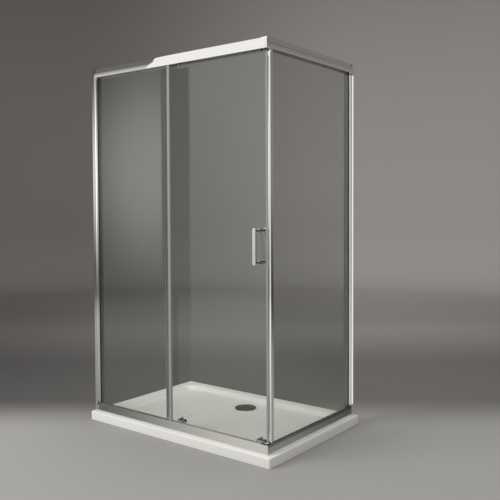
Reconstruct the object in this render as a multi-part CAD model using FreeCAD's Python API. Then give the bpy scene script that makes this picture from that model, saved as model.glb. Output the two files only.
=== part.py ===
import FreeCAD
import Part
import math
import os

# Corner shower enclosure with a sliding door: a framed two-sided glass screen that stands on a cast
# tray. It is fixed along its left side (-X) and its back (+Y), and open at the other two. All sizes
# are millimetres. The origin is under the middle of the tray, level with its underside, with Z up
# and the door side facing -Y.

# ---- driving dimensions -------------------------------------------------------------------------

tray_length = 1200.0          # along the door side
tray_width = 800.0            # along the side screen
tray_height = 45.0
screen_height = 1850.0        # from the tray's rim to the top of the head rail

# tray
tray_corner_radius = 12.0
tray_edge_radius = 4.0
wall_rim = 56.0               # flat rim along the two fixed sides
open_rim = 86.0               # flat rim that carries the screen
cove_width = 38.0             # slope from the rim down to the floor
tray_floor = 25.0             # height of the shower floor
basin_corner_radius = 70.0
basin_foot_radius = 14.0      # rounding between the slope and the floor
basin_lip_radius = 6.0        # rounding between the rim and the slope
waste_from_middle = 197.0     # the waste sits towards the back
waste_hole_radius = 45.0
waste_seat_radius = 62.0
waste_seat_depth = 3.0

# waste fitting
washer_radius = 55.0
washer_thickness = 1.5
flange_radius = 56.0
flange_thickness = 2.0
sleeve_radius = 43.5
sleeve_bore = 37.5
trap_bore = 41.0              # the lower bore, where the trap's spigot goes in
trap_bore_depth = 12.0
sleeve_foot = 3.0             # height of the sleeve's lower end over the tray's underside
cover_radius = 59.0
cover_crown = 4.2
cover_thickness = 1.8
cover_gap = 2.6               # water gap under the cover's rim
cover_leg_radius = 2.6
cover_leg_circle = 34.0
cover_legs = 4
cover_leg_length = 10.0
cover_edge = 1.5              # thickness of the cover at its rim
cover_tie = 4.5               # height of the bars that tie the legs together

# rails, all measured in from the outer face
setback = 30.0                # outer face of the rails from the tray's open edges
rail_depth = 47.0
rail_wall = 1.8
head_height = 49.0
fascia_height = 30.0          # lower, bulging band of the head rail
fascia_bulge = 2.0
fascia_step = 2.0             # how far the upper band lies behind the lower one
head_shoulder = 5.4           # width of the rounding from the upper band to the top
sill_height = 41.6
sill_front_wall = 2.6
ridge_width = 5.6             # ridge between the sill's glass groove and its roller channel
groove_floor = 20.0           # bottom of the glass groove over the sill's base
corner_radius = 12.0
cap_arm_length = 42.0         # how far a corner cap's arm reaches into a rail
joint_gap = 0.2
rail_start = 18.3             # distance from the fixed side to the rails' cut ends
end_plug = 22.0               # how far an end block plugs into its rail

# glass
glass = 6.0
pane_inset = 10.0             # outer face of the fixed panes behind the rails' outer face
door_inset = 31.0             # outer face of the door pane
lip = 2.4                     # space for the gasket on each side of a fixed pane
head_bite = 38.0              # how far the fixed panes reach up into the head rail
door_head_bite = 22.0
door_foot = 8.0               # lower edge of the door pane over the sill's base
setting_block = 2.0
setting_block_half = 20.0
setting_block_from_edge = 80.0
gasket_height = 10.0
gasket_proud = 1.0            # the lower gaskets stand out of the sill by this
infill_height = 5.0           # strips that close the groove beside the door
glass_gap = 0.15              # gasket to glass

# fixing profiles
channel_depth = 18.0          # how far the fixing channel stands out of its plane
channel_inset = 2.0           # its outer face behind the rails' outer face
channel_wall = 1.8
channel_hole_radius = 2.75
channel_hole_ends = 125.0     # end holes from each end of the channel
channel_hole_middle = 625.0   # middle holes from each end of the channel
jamb_start = 7.0              # jamb's hidden edge from the fixing plane
jamb_face = 35.0              # jamb's visible edge from the fixing plane
jamb_wall = 1.6
jamb_round = 1.5
jamb_groove = 14.0
slide_fit = 0.3
jamb_screw_low = 255.0        # lowest screw over the tray's rim
jamb_screw_high = 295.0       # highest screw under the top of the head rail
jamb_screw_radius = 1.9
jamb_screw_head = 3.6
jamb_screw_reach = 9.0
jamb_screw_head_height = 2.2
screw_cap_wall = 1.2

# corner post
post_outer = 2.0              # its outer face behind the side rail's outer face
post_inner = 18.0
post_front = 28.8             # its front edge behind the front rail's outer face
post_back = 46.0
post_round = 7.0
post_wall = 1.7
post_glass_slot = 8.0
magnet_width = 6.0
magnet_thickness = 3.0
magnet_air = 0.35             # between the two magnets when the door is shut

# fixed pane's free edge
stile_left = 554.0            # from the left fixing plane
stile_width = 16.0
stile_slot = 11.5
stile_wall = 2.6
stile_bow = 5.0               # length of the stile's rounded nose

# door
door_left = 528.0             # left edge of the door pane from the left fixing plane
trailing_clip = 11.0
seal_clip = 12.4
seal_wall = 1.4
seal_round = 1.2
seal_bite = 6.0
trailing_overhang = 3.5       # how far the trailing seal reaches past the pane
seal_low = 4.0                # gaps from the seals' ends to the sill and the head rail
seal_high = 3.0
fin_air = 0.4                 # from the trailing seal's fin to the fixed pane
travel = 457.0
buffer_length = 16.0

# top hangers
hanger_from_edge = 85.0       # left stud from the pane's left edge
hanger_from_corner = 65.0     # right stud from the side rail's outer face
hanger_plate = 1.5
hanger_half = 31.0
hanger_top = 37.0             # over the head rail's lower edge
stud_level = 5.0              # stud axis over the head rail's lower edge
stud_radius = 3.0
stud_hole = 7.0
cap_radius = 8.0
cap_thickness = 4.0
bush_collar = 0.5             # the bush's collar between cap and glass
stud_head_radius = 5.0
stud_head_height = 2.4
axle_shoulder = 0.9
wheel_offset = 19.0           # axles to each side of the stud
wheel_roll = 9.5              # rolling radius in the groove
wheel_flange = 10.5
wheel_width = 5.0
wheel_play = 0.5
wheel_groove = 2.8
track_level = 16.0            # top of the track ledge over the head rail's lower edge
track_thickness = 2.0
rib_width = 2.0
rib_height = 1.3
roll_air = 0.08
axle_radius = 2.0
axle_air = 0.05
bearing_outer = 5.5
bearing_width = 4.0

# bottom rollers
roller_roll = 8.0
roller_flange = 9.2
roller_offset = 14.5
sill_floor = 3.0              # floor of the door channel over the sill's base
guide_rib_top = 14.0
back_lip_top = 12.0
carriage_thickness = 1.6
carriage_half = 20.0
stem_half = 7.0
carriage_seat = 1.5           # thickness of the tongue that the spring stands on
lift = 6.0                    # travel of the spring carriage
housing_half = 24.0
housing_foot = 39.0           # over the sill's base
housing_top = 53.0
housing_depth = 9.0
spring_radius = 1.9
spring_wire = 0.35
spring_turns = 5
spring_closed = 2.2           # height left for the spring when the carriage is lifted
spring_slot_half = 2.6
tab_rise = 7.0                # finger tab over the housing
tab_reach = 8.0
clamp_screw_offset = 17.5
clamp_screw_radius = 2.0
clamp_screw_head = 3.4
clamp_hole = 4.0
clamp_plate = 3.0

# handle
handle_from_corner = 72.0     # bar's middle from the side rail's outer face
handle_level = 972.5
handle_length = 167.0
handle_width = 20.0
handle_thickness = 8.0
handle_holes = 145.0
outer_reach = 30.0            # from the glass to the outer bar's back
inner_reach = 36.0
standoff_radius = 6.5
handle_foot_radius = 9.0
handle_foot_height = 4.0
handle_hole_radius = 6.0
handle_bolt_radius = 3.0
handle_bolt_reach = 13.0      # bolt's end beyond each face of the pane
handle_socket = 16.0          # depth of the bolt's hole in each handle
handle_washer = 1.0

# ---- places worked out from them ----------------------------------------------------------------

wall_x = -tray_length / 2
back_y = tray_width / 2
side_x = tray_length / 2 - setback
front_y = -tray_width / 2 + setback
rim_z = tray_height
sill_top = rim_z + sill_height
top_z = rim_z + screen_height
head_z = top_z - head_height
front_run = tray_length - setback
side_run = tray_width - setback
pane_inner = pane_inset + glass
door_inner = door_inset + glass
groove_outer = pane_inset - lip
groove_inner = pane_inner + lip
ridge_inner = groove_inner + ridge_width
plug_front = sill_front_wall + 1.4
rib_middle = door_inner + hanger_plate + 0.3 + wheel_play + wheel_width / 2
wheel_axis = head_z + track_level + rib_height + roll_air + wheel_roll
roller_axis = rim_z + guide_rib_top + roll_air + roller_roll
spring_ceiling = rim_z + housing_foot + carriage_seat + lift + spring_closed
door_foot_z = rim_z + door_foot
door_top_z = head_z + door_head_bite
magnet_face = front_run - post_inner - magnet_air
hanger_positions = (door_left + hanger_from_edge, front_run - hanger_from_corner)
handle_centre = front_run - handle_from_corner
jamb_screw_levels = (rim_z + jamb_screw_low, (rim_z + top_z) / 2, top_z - jamb_screw_high)
door_right = magnet_face - seal_clip + seal_bite

vec = FreeCAD.Vector
UP = vec(0, 0, 1)


def front_line(run, depth, z):
    """A point of the door side: run from the left end, depth in from the rails' outer face."""
    return vec(wall_x + run, front_y + depth, z)


def side_line(run, depth, z):
    """A point of the side screen: run from the back end, depth in from the rails' outer face."""
    return vec(side_x - depth, back_y - run, z)


def wire(points):
    """Closed wire through points. A point given as a pair (middle, end) is reached by an arc."""
    edges = []
    start = points[0]
    here = start
    for step in points[1:] + [start]:
        if isinstance(step, tuple):
            middle, end = step
            edges.append(Part.Arc(here, middle, end).toShape())
        else:
            end = step
            if here.distanceToPoint(end) > 1e-6:
                edges.append(Part.LineSegment(here, end).toShape())
        here = end
    return Part.Wire(edges)


def face(points, holes=()):
    """Flat face inside points, less the areas inside each of holes."""
    shape = Part.Face(wire(points))
    for hole in holes:
        shape = shape.cut(Part.Face(wire(hole)))
    return shape


def solid(shape):
    """The one solid of a shape, turned outside out if its volume came out negative."""
    piece = shape.Solids[0] if shape.Solids else shape
    if piece.Volume < 0:
        piece.reverse()
    return piece


def section(line, run, outline):
    """Points of a section across a rail: outline holds (depth, z), or (middle, end) for an arc."""
    placed = []
    for step in outline:
        if isinstance(step[0], tuple):
            placed.append((line(run, *step[0]), line(run, *step[1])))
        else:
            placed.append(line(run, *step))
    return placed


def plan(line, z, outline):
    """Points of a section seen from above: outline holds (run, depth), or (middle, end)."""
    placed = []
    for step in outline:
        if isinstance(step[0], tuple):
            placed.append((line(*step[0], z), line(*step[1], z)))
        else:
            placed.append(line(*step, z))
    return placed


def rail(line, start, end, outline, holes=()):
    """A section carried along the screen from start to end."""
    hole_points = [section(line, start, hole) for hole in holes]
    shape = face(section(line, start, outline), hole_points)
    return solid(shape.extrude(line(end, 0, 0) - line(start, 0, 0)))


def upright(line, low, high, outline, holes=()):
    """A section seen from above, carried up from low to high."""
    hole_points = [plan(line, low, hole) for hole in holes]
    return solid(face(plan(line, low, outline), hole_points).extrude(UP * (high - low)))


def block(line, run, depth, z):
    """A straight block; run, depth and z are each (low, high)."""
    corners = [(run[0], depth[0]), (run[1], depth[0]), (run[1], depth[1]), (run[0], depth[1])]
    return upright(line, z[0], z[1], corners)


def rod(line, run, z, depth, radius):
    """A round bar square to the glass, over the depths (low, high)."""
    foot = line(run, depth[0], z)
    reach = line(run, depth[1], z) - foot
    return Part.makeCylinder(radius, reach.Length, foot, reach)


def fused(pieces):
    """One solid from pieces that meet."""
    shape = pieces[0].fuse(list(pieces[1:]))
    return solid(shape.removeSplitter())


def less(shape, *cuts):
    """Shape with each of cuts taken away."""
    return solid(shape.cut(list(cuts)))


def save(name, *pieces):
    """Write the solids of one node."""
    shape = pieces[0] if len(pieces) == 1 else Part.makeCompound(list(pieces))
    shape.exportStep("parts/" + name + ".step")


def rounded_box(x, y, z, radius):
    """A block with its four upright edges rounded."""
    shape = Part.makeBox(x[1] - x[0], y[1] - y[0], z[1] - z[0], vec(x[0], y[0], z[0]))
    upright_edges = [e for e in shape.Edges if abs(e.Vertexes[0].Z - e.Vertexes[1].Z) > 1e-6]
    return shape.makeFillet(radius, upright_edges)


def rounded_wire(x, y, z, radius):
    """A rectangle with round corners at height z."""
    slant = radius * (1 - math.sqrt(0.5))
    points = [
        vec(x[0] + radius, y[0], z),
        vec(x[1] - radius, y[0], z),
        (vec(x[1] - slant, y[0] + slant, z), vec(x[1], y[0] + radius, z)),
        vec(x[1], y[1] - radius, z),
        (vec(x[1] - slant, y[1] - slant, z), vec(x[1] - radius, y[1], z)),
        vec(x[0] + radius, y[1], z),
        (vec(x[0] + slant, y[1] - slant, z), vec(x[0], y[1] - radius, z)),
        vec(x[0], y[0] + radius, z),
    ]
    closing = (vec(x[0] + slant, y[0] + slant, z), vec(x[0] + radius, y[0], z))
    return wire(points + [closing])


# ---- tray and waste -----------------------------------------------------------------------------

def make_tray():
    """Cast slab with a flat rim, a coved basin and a seat and hole for the waste."""
    x = (wall_x, -wall_x)
    y = (-back_y, back_y)
    slab = rounded_box(x, y, (0, tray_height), tray_corner_radius)
    top_edges = [e for e in slab.Edges if min(v.Z for v in e.Vertexes) > tray_height - 1e-6]
    slab = slab.makeFillet(tray_edge_radius, top_edges)
    basin_x = (wall_x + wall_rim, -wall_x - open_rim)
    basin_y = (-back_y + open_rim, back_y - wall_rim)
    floor_x = (basin_x[0] + cove_width, basin_x[1] - cove_width)
    floor_y = (basin_y[0] + cove_width, basin_y[1] - cove_width)
    floor_radius = basin_corner_radius - cove_width
    basin = Part.makeLoft([
        rounded_wire(floor_x, floor_y, tray_floor, floor_radius),
        rounded_wire(basin_x, basin_y, tray_height, basin_corner_radius),
    ], True)
    foot_edges = [e for e in basin.Edges if max(v.Z for v in e.Vertexes) < tray_floor + 1e-6]
    basin = basin.makeFillet(basin_foot_radius, foot_edges)
    centre = vec(0, waste_from_middle, 0)
    seat_z = tray_floor - waste_seat_depth
    seat = Part.makeCone(waste_seat_radius - waste_seat_depth, waste_seat_radius,
                         waste_seat_depth, centre + UP * seat_z)
    hole = Part.makeCylinder(waste_hole_radius, tray_floor + 1, centre - UP)
    tray = less(slab, basin)
    lip_edges = []
    for edge in tray.Edges:
        box = edge.BoundBox
        level = box.ZMin > tray_height - 1e-6
        inside_x = box.XMin > x[0] + tray_edge_radius + 1 and box.XMax < x[1] - tray_edge_radius - 1
        inside_y = box.YMin > y[0] + tray_edge_radius + 1 and box.YMax < y[1] - tray_edge_radius - 1
        if level and inside_x and inside_y:
            lip_edges.append(edge)
    tray = tray.makeFillet(basin_lip_radius, lip_edges)
    save("tray", less(tray, seat, hole))


def ring(outer, inner, z, height, centre):
    """A flat ring."""
    whole = Part.makeCylinder(outer, height, centre + UP * z)
    return whole.cut(Part.makeCylinder(inner, height, centre + UP * z))


def arc_sag(rise, reach, offset):
    """How far an arc that falls by rise over reach has fallen at offset from its crown."""
    radius = (reach ** 2 + rise ** 2) / (2 * rise)
    return radius - math.sqrt(radius ** 2 - offset ** 2)


def make_waste():
    """Rubber washer, flange with its sleeve, and the lift-out domed cover on four legs."""
    centre = vec(0, waste_from_middle, 0)
    seat_z = tray_floor - waste_seat_depth
    washer = ring(washer_radius, waste_hole_radius + slide_fit, seat_z, washer_thickness, centre)
    save("waste_washer", solid(washer))

    flange_z = seat_z + washer_thickness
    flange_top = flange_z + flange_thickness
    lip_ring = ring(flange_radius, sleeve_bore, flange_z, flange_thickness, centre)
    sleeve = ring(sleeve_radius, sleeve_bore, sleeve_foot, flange_top - sleeve_foot, centre)
    body = lip_ring.fuse(sleeve)
    spigot = Part.makeCylinder(trap_bore, trap_bore_depth, centre + UP * sleeve_foot)
    save("waste_flange", solid(body.cut(spigot).removeSplitter()))

    rim = flange_top + cover_gap
    crown = rim + cover_crown
    half = cover_radius / 2
    outer_sag = arc_sag(cover_crown - cover_edge, cover_radius, half)
    inner_sag = arc_sag(cover_crown - cover_thickness, cover_radius, half)
    profile = [
        vec(0, 0, crown),
        (vec(half, 0, crown - outer_sag), vec(cover_radius, 0, rim + cover_edge)),
        vec(cover_radius, 0, rim),
        (vec(half, 0, crown - cover_thickness - inner_sag), vec(0, 0, crown - cover_thickness)),
    ]
    dome = solid(Part.Face(wire(profile)).revolve(vec(0, 0, 0), UP, 360))
    dome.translate(centre)
    pieces = [dome]
    shoulder = crown - cover_thickness * 1.4
    for leg in range(cover_legs):
        angle = math.radians(45 + 360 * leg / cover_legs)
        foot = centre + vec(math.cos(angle), math.sin(angle), 0) * cover_leg_circle
        low = flange_top - cover_leg_length
        pieces.append(Part.makeCylinder(cover_leg_radius, shoulder - low, foot + UP * low))
    for bar in range(cover_legs // 2):
        angle = 45 + 360 * bar / cover_legs
        tie = Part.makeBox(2 * cover_leg_circle, 2 * cover_thickness, cover_tie)
        tie.translate(vec(-cover_leg_circle, -cover_thickness, shoulder - cover_tie))
        tie.rotate(vec(0, 0, 0), UP, angle)
        tie.translate(centre)
        pieces.append(tie)
    save("drain_cover", fused(pieces))


# ---- rails --------------------------------------------------------------------------------------

def head_outer(z):
    """Outer contour of the head rail, from its lower front edge up over the top."""
    crease = z + fascia_height
    top = z + head_height
    back = fascia_bulge + fascia_step
    return [
        (fascia_bulge, z),
        ((0, z + fascia_height / 2), (fascia_bulge, crease)),
        (back, crease),
        (back + 0.4, top - 5.0),
        ((back + head_shoulder / 3, top - 1.4), (back + head_shoulder, top)),
    ]


def head_section(z):
    """Head rail: fascia, glass groove and the inner track that the door hangs from."""
    top = z + head_height
    under = top - rail_wall
    crease = z + fascia_height
    back = fascia_bulge + fascia_step
    inner = rail_depth - rail_wall
    ledge = z + track_level
    near = door_inner + hanger_plate + 0.6
    rib = (rib_middle - rib_width / 2, rib_middle + rib_width / 2)
    return head_outer(z) + [
        (rail_depth - 5.0, top),
        ((rail_depth - 1.4, top - 1.4), (rail_depth, top - 5.0)),
        (rail_depth, z),
        (inner, z),
        (inner, ledge - track_thickness),
        (near, ledge - track_thickness),
        (near, ledge),
        (rib[0], ledge),
        (rib[0], ledge + rib_height),
        (rib[1], ledge + rib_height),
        (rib[1], ledge),
        (inner, ledge),
        (inner, under),
        (groove_inner + rail_wall, under),
        (groove_inner + rail_wall, z + 10),
        (groove_inner, z + 10),
        (groove_inner, under),
        (back + head_shoulder - 0.8, under),
        (back + 2.2, under - 2.4),
        (back + 2.0, crease + rail_wall),
        (fascia_bulge + rail_wall, crease - rail_wall),
        ((rail_wall, z + fascia_height / 2), (fascia_bulge + rail_wall - 0.2, z + 2 * rail_wall)),
        (groove_outer, z + 2 * rail_wall),
        (groove_outer, z),
    ]


def sill_outer(z):
    """Outer contour of the sill: a short upright foot and a curved, leaning front."""
    return [
        (0, z),
        (0, z + 7.0),
        ((1.8, z + 0.65 * sill_height), (groove_outer - 0.6, z + sill_height)),
    ]


def sill_section(z):
    """Sill: curved front, glass groove, ridge, and the low channel with the rollers' guide rib."""
    top = z + sill_height
    inner = rail_depth - rail_wall
    rib = (rib_middle - rib_width / 2, rib_middle + rib_width / 2)
    return sill_outer(z) + [
        (groove_outer, top),
        (groove_outer, z + groove_floor),
        (groove_inner, z + groove_floor),
        (groove_inner, top),
        (ridge_inner, top),
        (ridge_inner, z + sill_floor),
        (rib[0], z + sill_floor),
        (rib[0], z + guide_rib_top),
        (rib[1], z + guide_rib_top),
        (rib[1], z + sill_floor),
        (inner, z + sill_floor),
        (inner, z + back_lip_top),
        (rail_depth, z + back_lip_top),
        (rail_depth, z),
    ]


def sill_hollow(z):
    """The hollow inside the sill: under the groove, behind the front and up into the ridge."""
    under = z + groove_floor - rail_wall
    ridge = (groove_inner + rail_wall, ridge_inner - rail_wall)
    return [
        (sill_front_wall, z + rail_wall),
        (sill_front_wall, z + 0.25 * sill_height),
        (sill_front_wall + 0.8, z + 0.58 * sill_height),
        (groove_outer - rail_wall, z + 0.84 * sill_height),
        (groove_outer - rail_wall, under),
        (ridge[0], under),
        (ridge[0], z + sill_height - rail_wall),
        (ridge[1], z + sill_height - rail_wall),
        (ridge[1], z + rail_wall),
    ]


def corner_waste(line, run, low, high):
    """What is sawn off a rail's end at the corner: a mitre, and the room for the corner cap."""
    end = run - joint_gap
    far = rail_depth + 1
    outline = [
        (end - corner_radius, -1),
        (end - corner_radius, corner_radius),
        (end - far, far),
        (end + far, far),
        (end + far, -1),
    ]
    return upright(line, low - 1, high + 1, outline)


def jamb_hole(line, z):
    """Clearance hole and pilot hole of one jamb screw, in from the inner side."""
    run = (jamb_start + channel_depth) / 2
    far = rail_depth - channel_inset
    return rod(line, run, z, (far - jamb_screw_reach - 3, far + 1), jamb_screw_radius + axle_air)


def make_rails():
    """Head rails and sills of both sides, mitred at the corner, and the two corner caps."""
    lines = (("front", front_line, front_run), ("side", side_line, side_run))
    for name, line, run in lines:
        head = rail(line, rail_start, run, head_section(head_z))
        head = less(head, corner_waste(line, run, head_z, top_z))
        if name == "side":
            reach = (run - rail_depth - 1, run - door_inset + 1)
            depth = (door_inner, rail_depth - rail_wall)
            head = less(head, block(line, reach, depth, (head_z - 1, head_z + hanger_top + 2)))
        save(name + "_head_rail", head)
        sill = rail(line, rail_start, run, sill_section(rim_z), [sill_hollow(rim_z)])
        sill = less(sill, corner_waste(line, run, rim_z, sill_top))
        save(name + "_sill", sill)


def corner_cap(outer, low, high, arm_depth, arm_z):
    """Quarter-round cap of a rail's contour, with an arm that plugs into each rail."""
    middle = vec(side_x - corner_radius, front_y + corner_radius, 0)

    def at(depth, z):
        return middle + vec(0, depth - corner_radius, z)

    points = []
    for step in outer:
        if isinstance(step[0], tuple):
            points.append((at(*step[0]), at(*step[1])))
        else:
            points.append(at(*step))
    points.append(at(corner_radius, high))
    points.append(at(corner_radius, low))
    cap = solid(Part.Face(wire(points)).revolve(middle, UP, 90))
    pieces = [cap]
    for line, run in ((front_line, front_run), (side_line, side_run)):
        end = run - corner_radius
        pieces.append(block(line, (end - cap_arm_length, end), arm_depth, arm_z))
    return pieces


def make_corner_caps():
    """Cast caps that turn the rails' contours round the open corner."""
    arm_low = head_z + head_bite + setting_block
    arm_high = top_z - rail_wall - slide_fit
    depth = (fascia_bulge + fascia_step + head_shoulder - joint_gap, corner_radius)
    cap = corner_cap(head_outer(head_z), head_z, top_z, depth, (arm_low, arm_high))
    save("top_corner_cap", fused(cap))
    depth = (plug_front, corner_radius)
    arm_z = (rim_z + rail_wall + slide_fit, rim_z + groove_floor - rail_wall - slide_fit)
    cap = corner_cap(sill_outer(rim_z), rim_z, sill_top, depth, arm_z)
    save("bottom_corner_cap", fused(cap))


def make_end_blocks():
    """Moulded blocks that close the rails' fixed ends inside the fixing channels."""
    blocks = []
    depth = (channel_inset + channel_wall + slide_fit, rail_depth - channel_inset - channel_wall - slide_fit)
    run = (jamb_start, rail_start - joint_gap)
    plug = (rail_start - joint_gap, rail_start + end_plug)
    upper_depth = (groove_inner + rail_wall + slide_fit, door_inner)
    upper_z = (head_z + (head_bite + door_head_bite) / 2, top_z - rail_wall - slide_fit)
    lower_depth = (plug_front, ridge_inner - rail_wall - slide_fit)
    lower_z = (rim_z + rail_wall + slide_fit, rim_z + groove_floor - rail_wall - slide_fit)
    for line in (front_line, side_line):
        upper = block(line, run, depth, (head_z + joint_gap, top_z - rail_wall))
        blocks.append(fused([upper, block(line, plug, upper_depth, upper_z)]))
        lower = block(line, run, depth, (rim_z + joint_gap, sill_top - joint_gap))
        blocks.append(fused([lower, block(line, plug, lower_depth, lower_z)]))
    save("rail_end_blocks", *blocks)


# ---- fixing profiles and corner post ------------------------------------------------------------

def channel_hole_levels():
    """Heights of the four fixing screws of a channel."""
    return (rim_z + channel_hole_ends, rim_z + channel_hole_middle,
            top_z - channel_hole_middle, top_z - channel_hole_ends)


def make_wall_channels():
    """U-shaped fixing channels, drilled for the fixing screws and the jamb screws."""
    near = channel_inset
    far = rail_depth - channel_inset
    outline = [
        (0, near), (channel_depth, near),
        (channel_depth, near + channel_wall), (channel_wall, near + channel_wall),
        (channel_wall, far - channel_wall), (channel_depth, far - channel_wall),
        (channel_depth, far), (0, far),
    ]
    for name, line in (("left_wall_channel", front_line), ("back_wall_channel", side_line)):
        channel = upright(line, rim_z, top_z, outline)
        for level in channel_hole_levels():
            foot = line(-1, rail_depth / 2, level)
            reach = line(channel_wall + 1, rail_depth / 2, level) - foot
            channel = channel.cut(Part.makeCylinder(channel_hole_radius, reach.Length, foot, reach))
        for level in jamb_screw_levels:
            channel = channel.cut(jamb_hole(line, level))
        save(name, solid(channel))


def make_jambs():
    """Hollow uprights that slide in the fixing channels and hold the fixed panes' edges."""
    near = channel_inset + channel_wall + slide_fit
    far = rail_depth - near
    back = jamb_face - jamb_groove
    slant = jamb_round * (1 - math.sqrt(0.5))
    outline = [
        (jamb_start, near), (jamb_face - jamb_round, near),
        ((jamb_face - slant, near + slant), (jamb_face, near + jamb_round)),
        (jamb_face, groove_outer), (back, groove_outer), (back, groove_inner), (jamb_face, groove_inner),
        (jamb_face, far - jamb_round), ((jamb_face - slant, far - slant), (jamb_face - jamb_round, far)),
        (jamb_start, far),
    ]
    hidden = [
        (jamb_start + jamb_wall, near + jamb_wall), (back - jamb_wall, near + jamb_wall),
        (back - jamb_wall, far - jamb_wall), (jamb_start + jamb_wall, far - jamb_wall),
    ]
    inner = [
        (back, groove_inner + jamb_wall), (jamb_face - jamb_wall, groove_inner + jamb_wall),
        (jamb_face - jamb_wall, far - jamb_wall), (back, far - jamb_wall),
    ]
    low = sill_top + joint_gap
    high = head_z - joint_gap
    for name, line in (("left_jamb", front_line), ("back_jamb", side_line)):
        jamb = upright(line, low, high, outline, [hidden, inner])
        for level in jamb_screw_levels:
            jamb = jamb.cut(jamb_hole(line, level))
        save(name, solid(jamb))


def make_jamb_screws():
    """Self-tapping screws that lock each jamb in its channel, and their snap-on caps."""
    screws = []
    caps = []
    run = (jamb_start + channel_depth) / 2
    far = rail_depth - channel_inset
    room = far + jamb_screw_head_height + joint_gap
    top = room + screw_cap_wall
    for line in (front_line, side_line):
        for level in jamb_screw_levels:
            shank = rod(line, run, level, (far - jamb_screw_reach, far), jamb_screw_radius)
            head = rod(line, run, level, (far, far + jamb_screw_head_height), jamb_screw_head)
            screws.append(fused([shank, head]))
            shell = rod(line, run, level, (far, top), jamb_screw_head + joint_gap + screw_cap_wall)
            rims = [e for e in shell.Edges if e.Closed and outer_edge(line, e, top)]
            shell = shell.makeFillet(screw_cap_wall * 0.7, rims)
            caps.append(less(shell, rod(line, run, level, (far, room), jamb_screw_head + joint_gap)))
    save("jamb_screws", *screws)
    save("jamb_screw_caps", *caps)


def outer_edge(line, edge, depth):
    """True for an edge that lies wholly at this depth."""
    box = edge.BoundBox
    at = line(0, depth, 0)
    if line is front_line:
        return abs(box.YMin - at.y) < 1e-3 and abs(box.YMax - at.y) < 1e-3
    return abs(box.XMin - at.x) < 1e-3 and abs(box.XMax - at.x) < 1e-3


def make_post():
    """Hollow corner post: holds the side pane in one face and the door's magnet strip in another."""
    out = front_run - post_outer
    back = front_run - post_inner
    slot = (front_run - pane_inner - slide_fit, front_run - pane_inset + slide_fit)
    middle = (door_inset + door_inner) / 2
    magnet = (middle - magnet_width / 2, middle + magnet_width / 2)
    slant = post_round * (1 - math.sqrt(0.5))
    outline = [
        (back, post_front), (out - post_round, post_front),
        ((out - slant, post_front + slant), (out, post_front + post_round)),
        (out, post_back), (slot[1], post_back), (slot[1], post_back - post_glass_slot),
        (slot[0], post_back - post_glass_slot), (slot[0], post_back), (back, post_back),
        (back, magnet[1]), (back + magnet_thickness, magnet[1]), (back + magnet_thickness, magnet[0]),
        (back, magnet[0]),
    ]
    hollow_start = back + magnet_thickness + post_wall
    hollow_end = post_back - post_glass_slot - post_wall
    inner_slant = slant + post_wall * math.sqrt(0.5)
    hollow = [
        (hollow_start, post_front + post_wall), (out - post_round, post_front + post_wall),
        ((out - inner_slant, post_front + inner_slant), (out - post_wall, post_front + post_round)),
        (out - post_wall, hollow_end), (hollow_start, hollow_end),
    ]
    low = sill_top + joint_gap
    high = head_z - joint_gap
    save("corner_post", upright(front_line, low, high, outline, [hollow]))
    strip_run = (back, back + magnet_thickness - joint_gap)
    strip_depth = (magnet[0] + joint_gap, magnet[1] - joint_gap)
    save("post_magnet_strip", block(front_line, strip_run, strip_depth, (low + 1, high - 1)))


# ---- fixed glass --------------------------------------------------------------------------------

def pane_span():
    """Low and high edges of the fixed panes."""
    return (rim_z + groove_floor + setting_block, head_z + head_bite)


def make_fixed_glass():
    """The two fixed panes, the stile on the front pane's free edge, and the blocks they stand on."""
    start = jamb_face - jamb_groove + setting_block / 2
    front_end = stile_left + stile_slot
    side_end = side_run - post_back + post_glass_slot - slide_fit
    depth = (pane_inset, pane_inner)
    save("fixed_glass", block(front_line, (start, front_end), depth, pane_span()))
    save("side_glass", block(side_line, (start, side_end), depth, pane_span()))

    right = stile_left + stile_width
    near = pane_inset - stile_wall
    far = pane_inner + stile_wall
    middle = (near + far) / 2
    bow = stile_bow * 0.18
    outline = [
        (stile_left, near), (right - stile_bow, near),
        ((right - bow, near + 2 * bow), (right, middle)),
        ((right - bow, far - 2 * bow), (right - stile_bow, far)),
        (stile_left, far), (stile_left, pane_inner + glass_gap),
        (front_end + slide_fit, pane_inner + glass_gap), (front_end + slide_fit, pane_inset - glass_gap),
        (stile_left, pane_inset - glass_gap),
    ]
    save("fixed_glass_stile", upright(front_line, sill_top + joint_gap, head_z - joint_gap, outline))

    blocks = []
    z = (rim_z + groove_floor, rim_z + groove_floor + setting_block)
    for line, end in ((front_line, front_end), (side_line, side_end)):
        for middle in (start + setting_block_from_edge, end - setting_block_from_edge):
            blocks.append(block(line, (middle - setting_block_half, middle + setting_block_half), depth, z))
    save("setting_blocks", *blocks)


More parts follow.
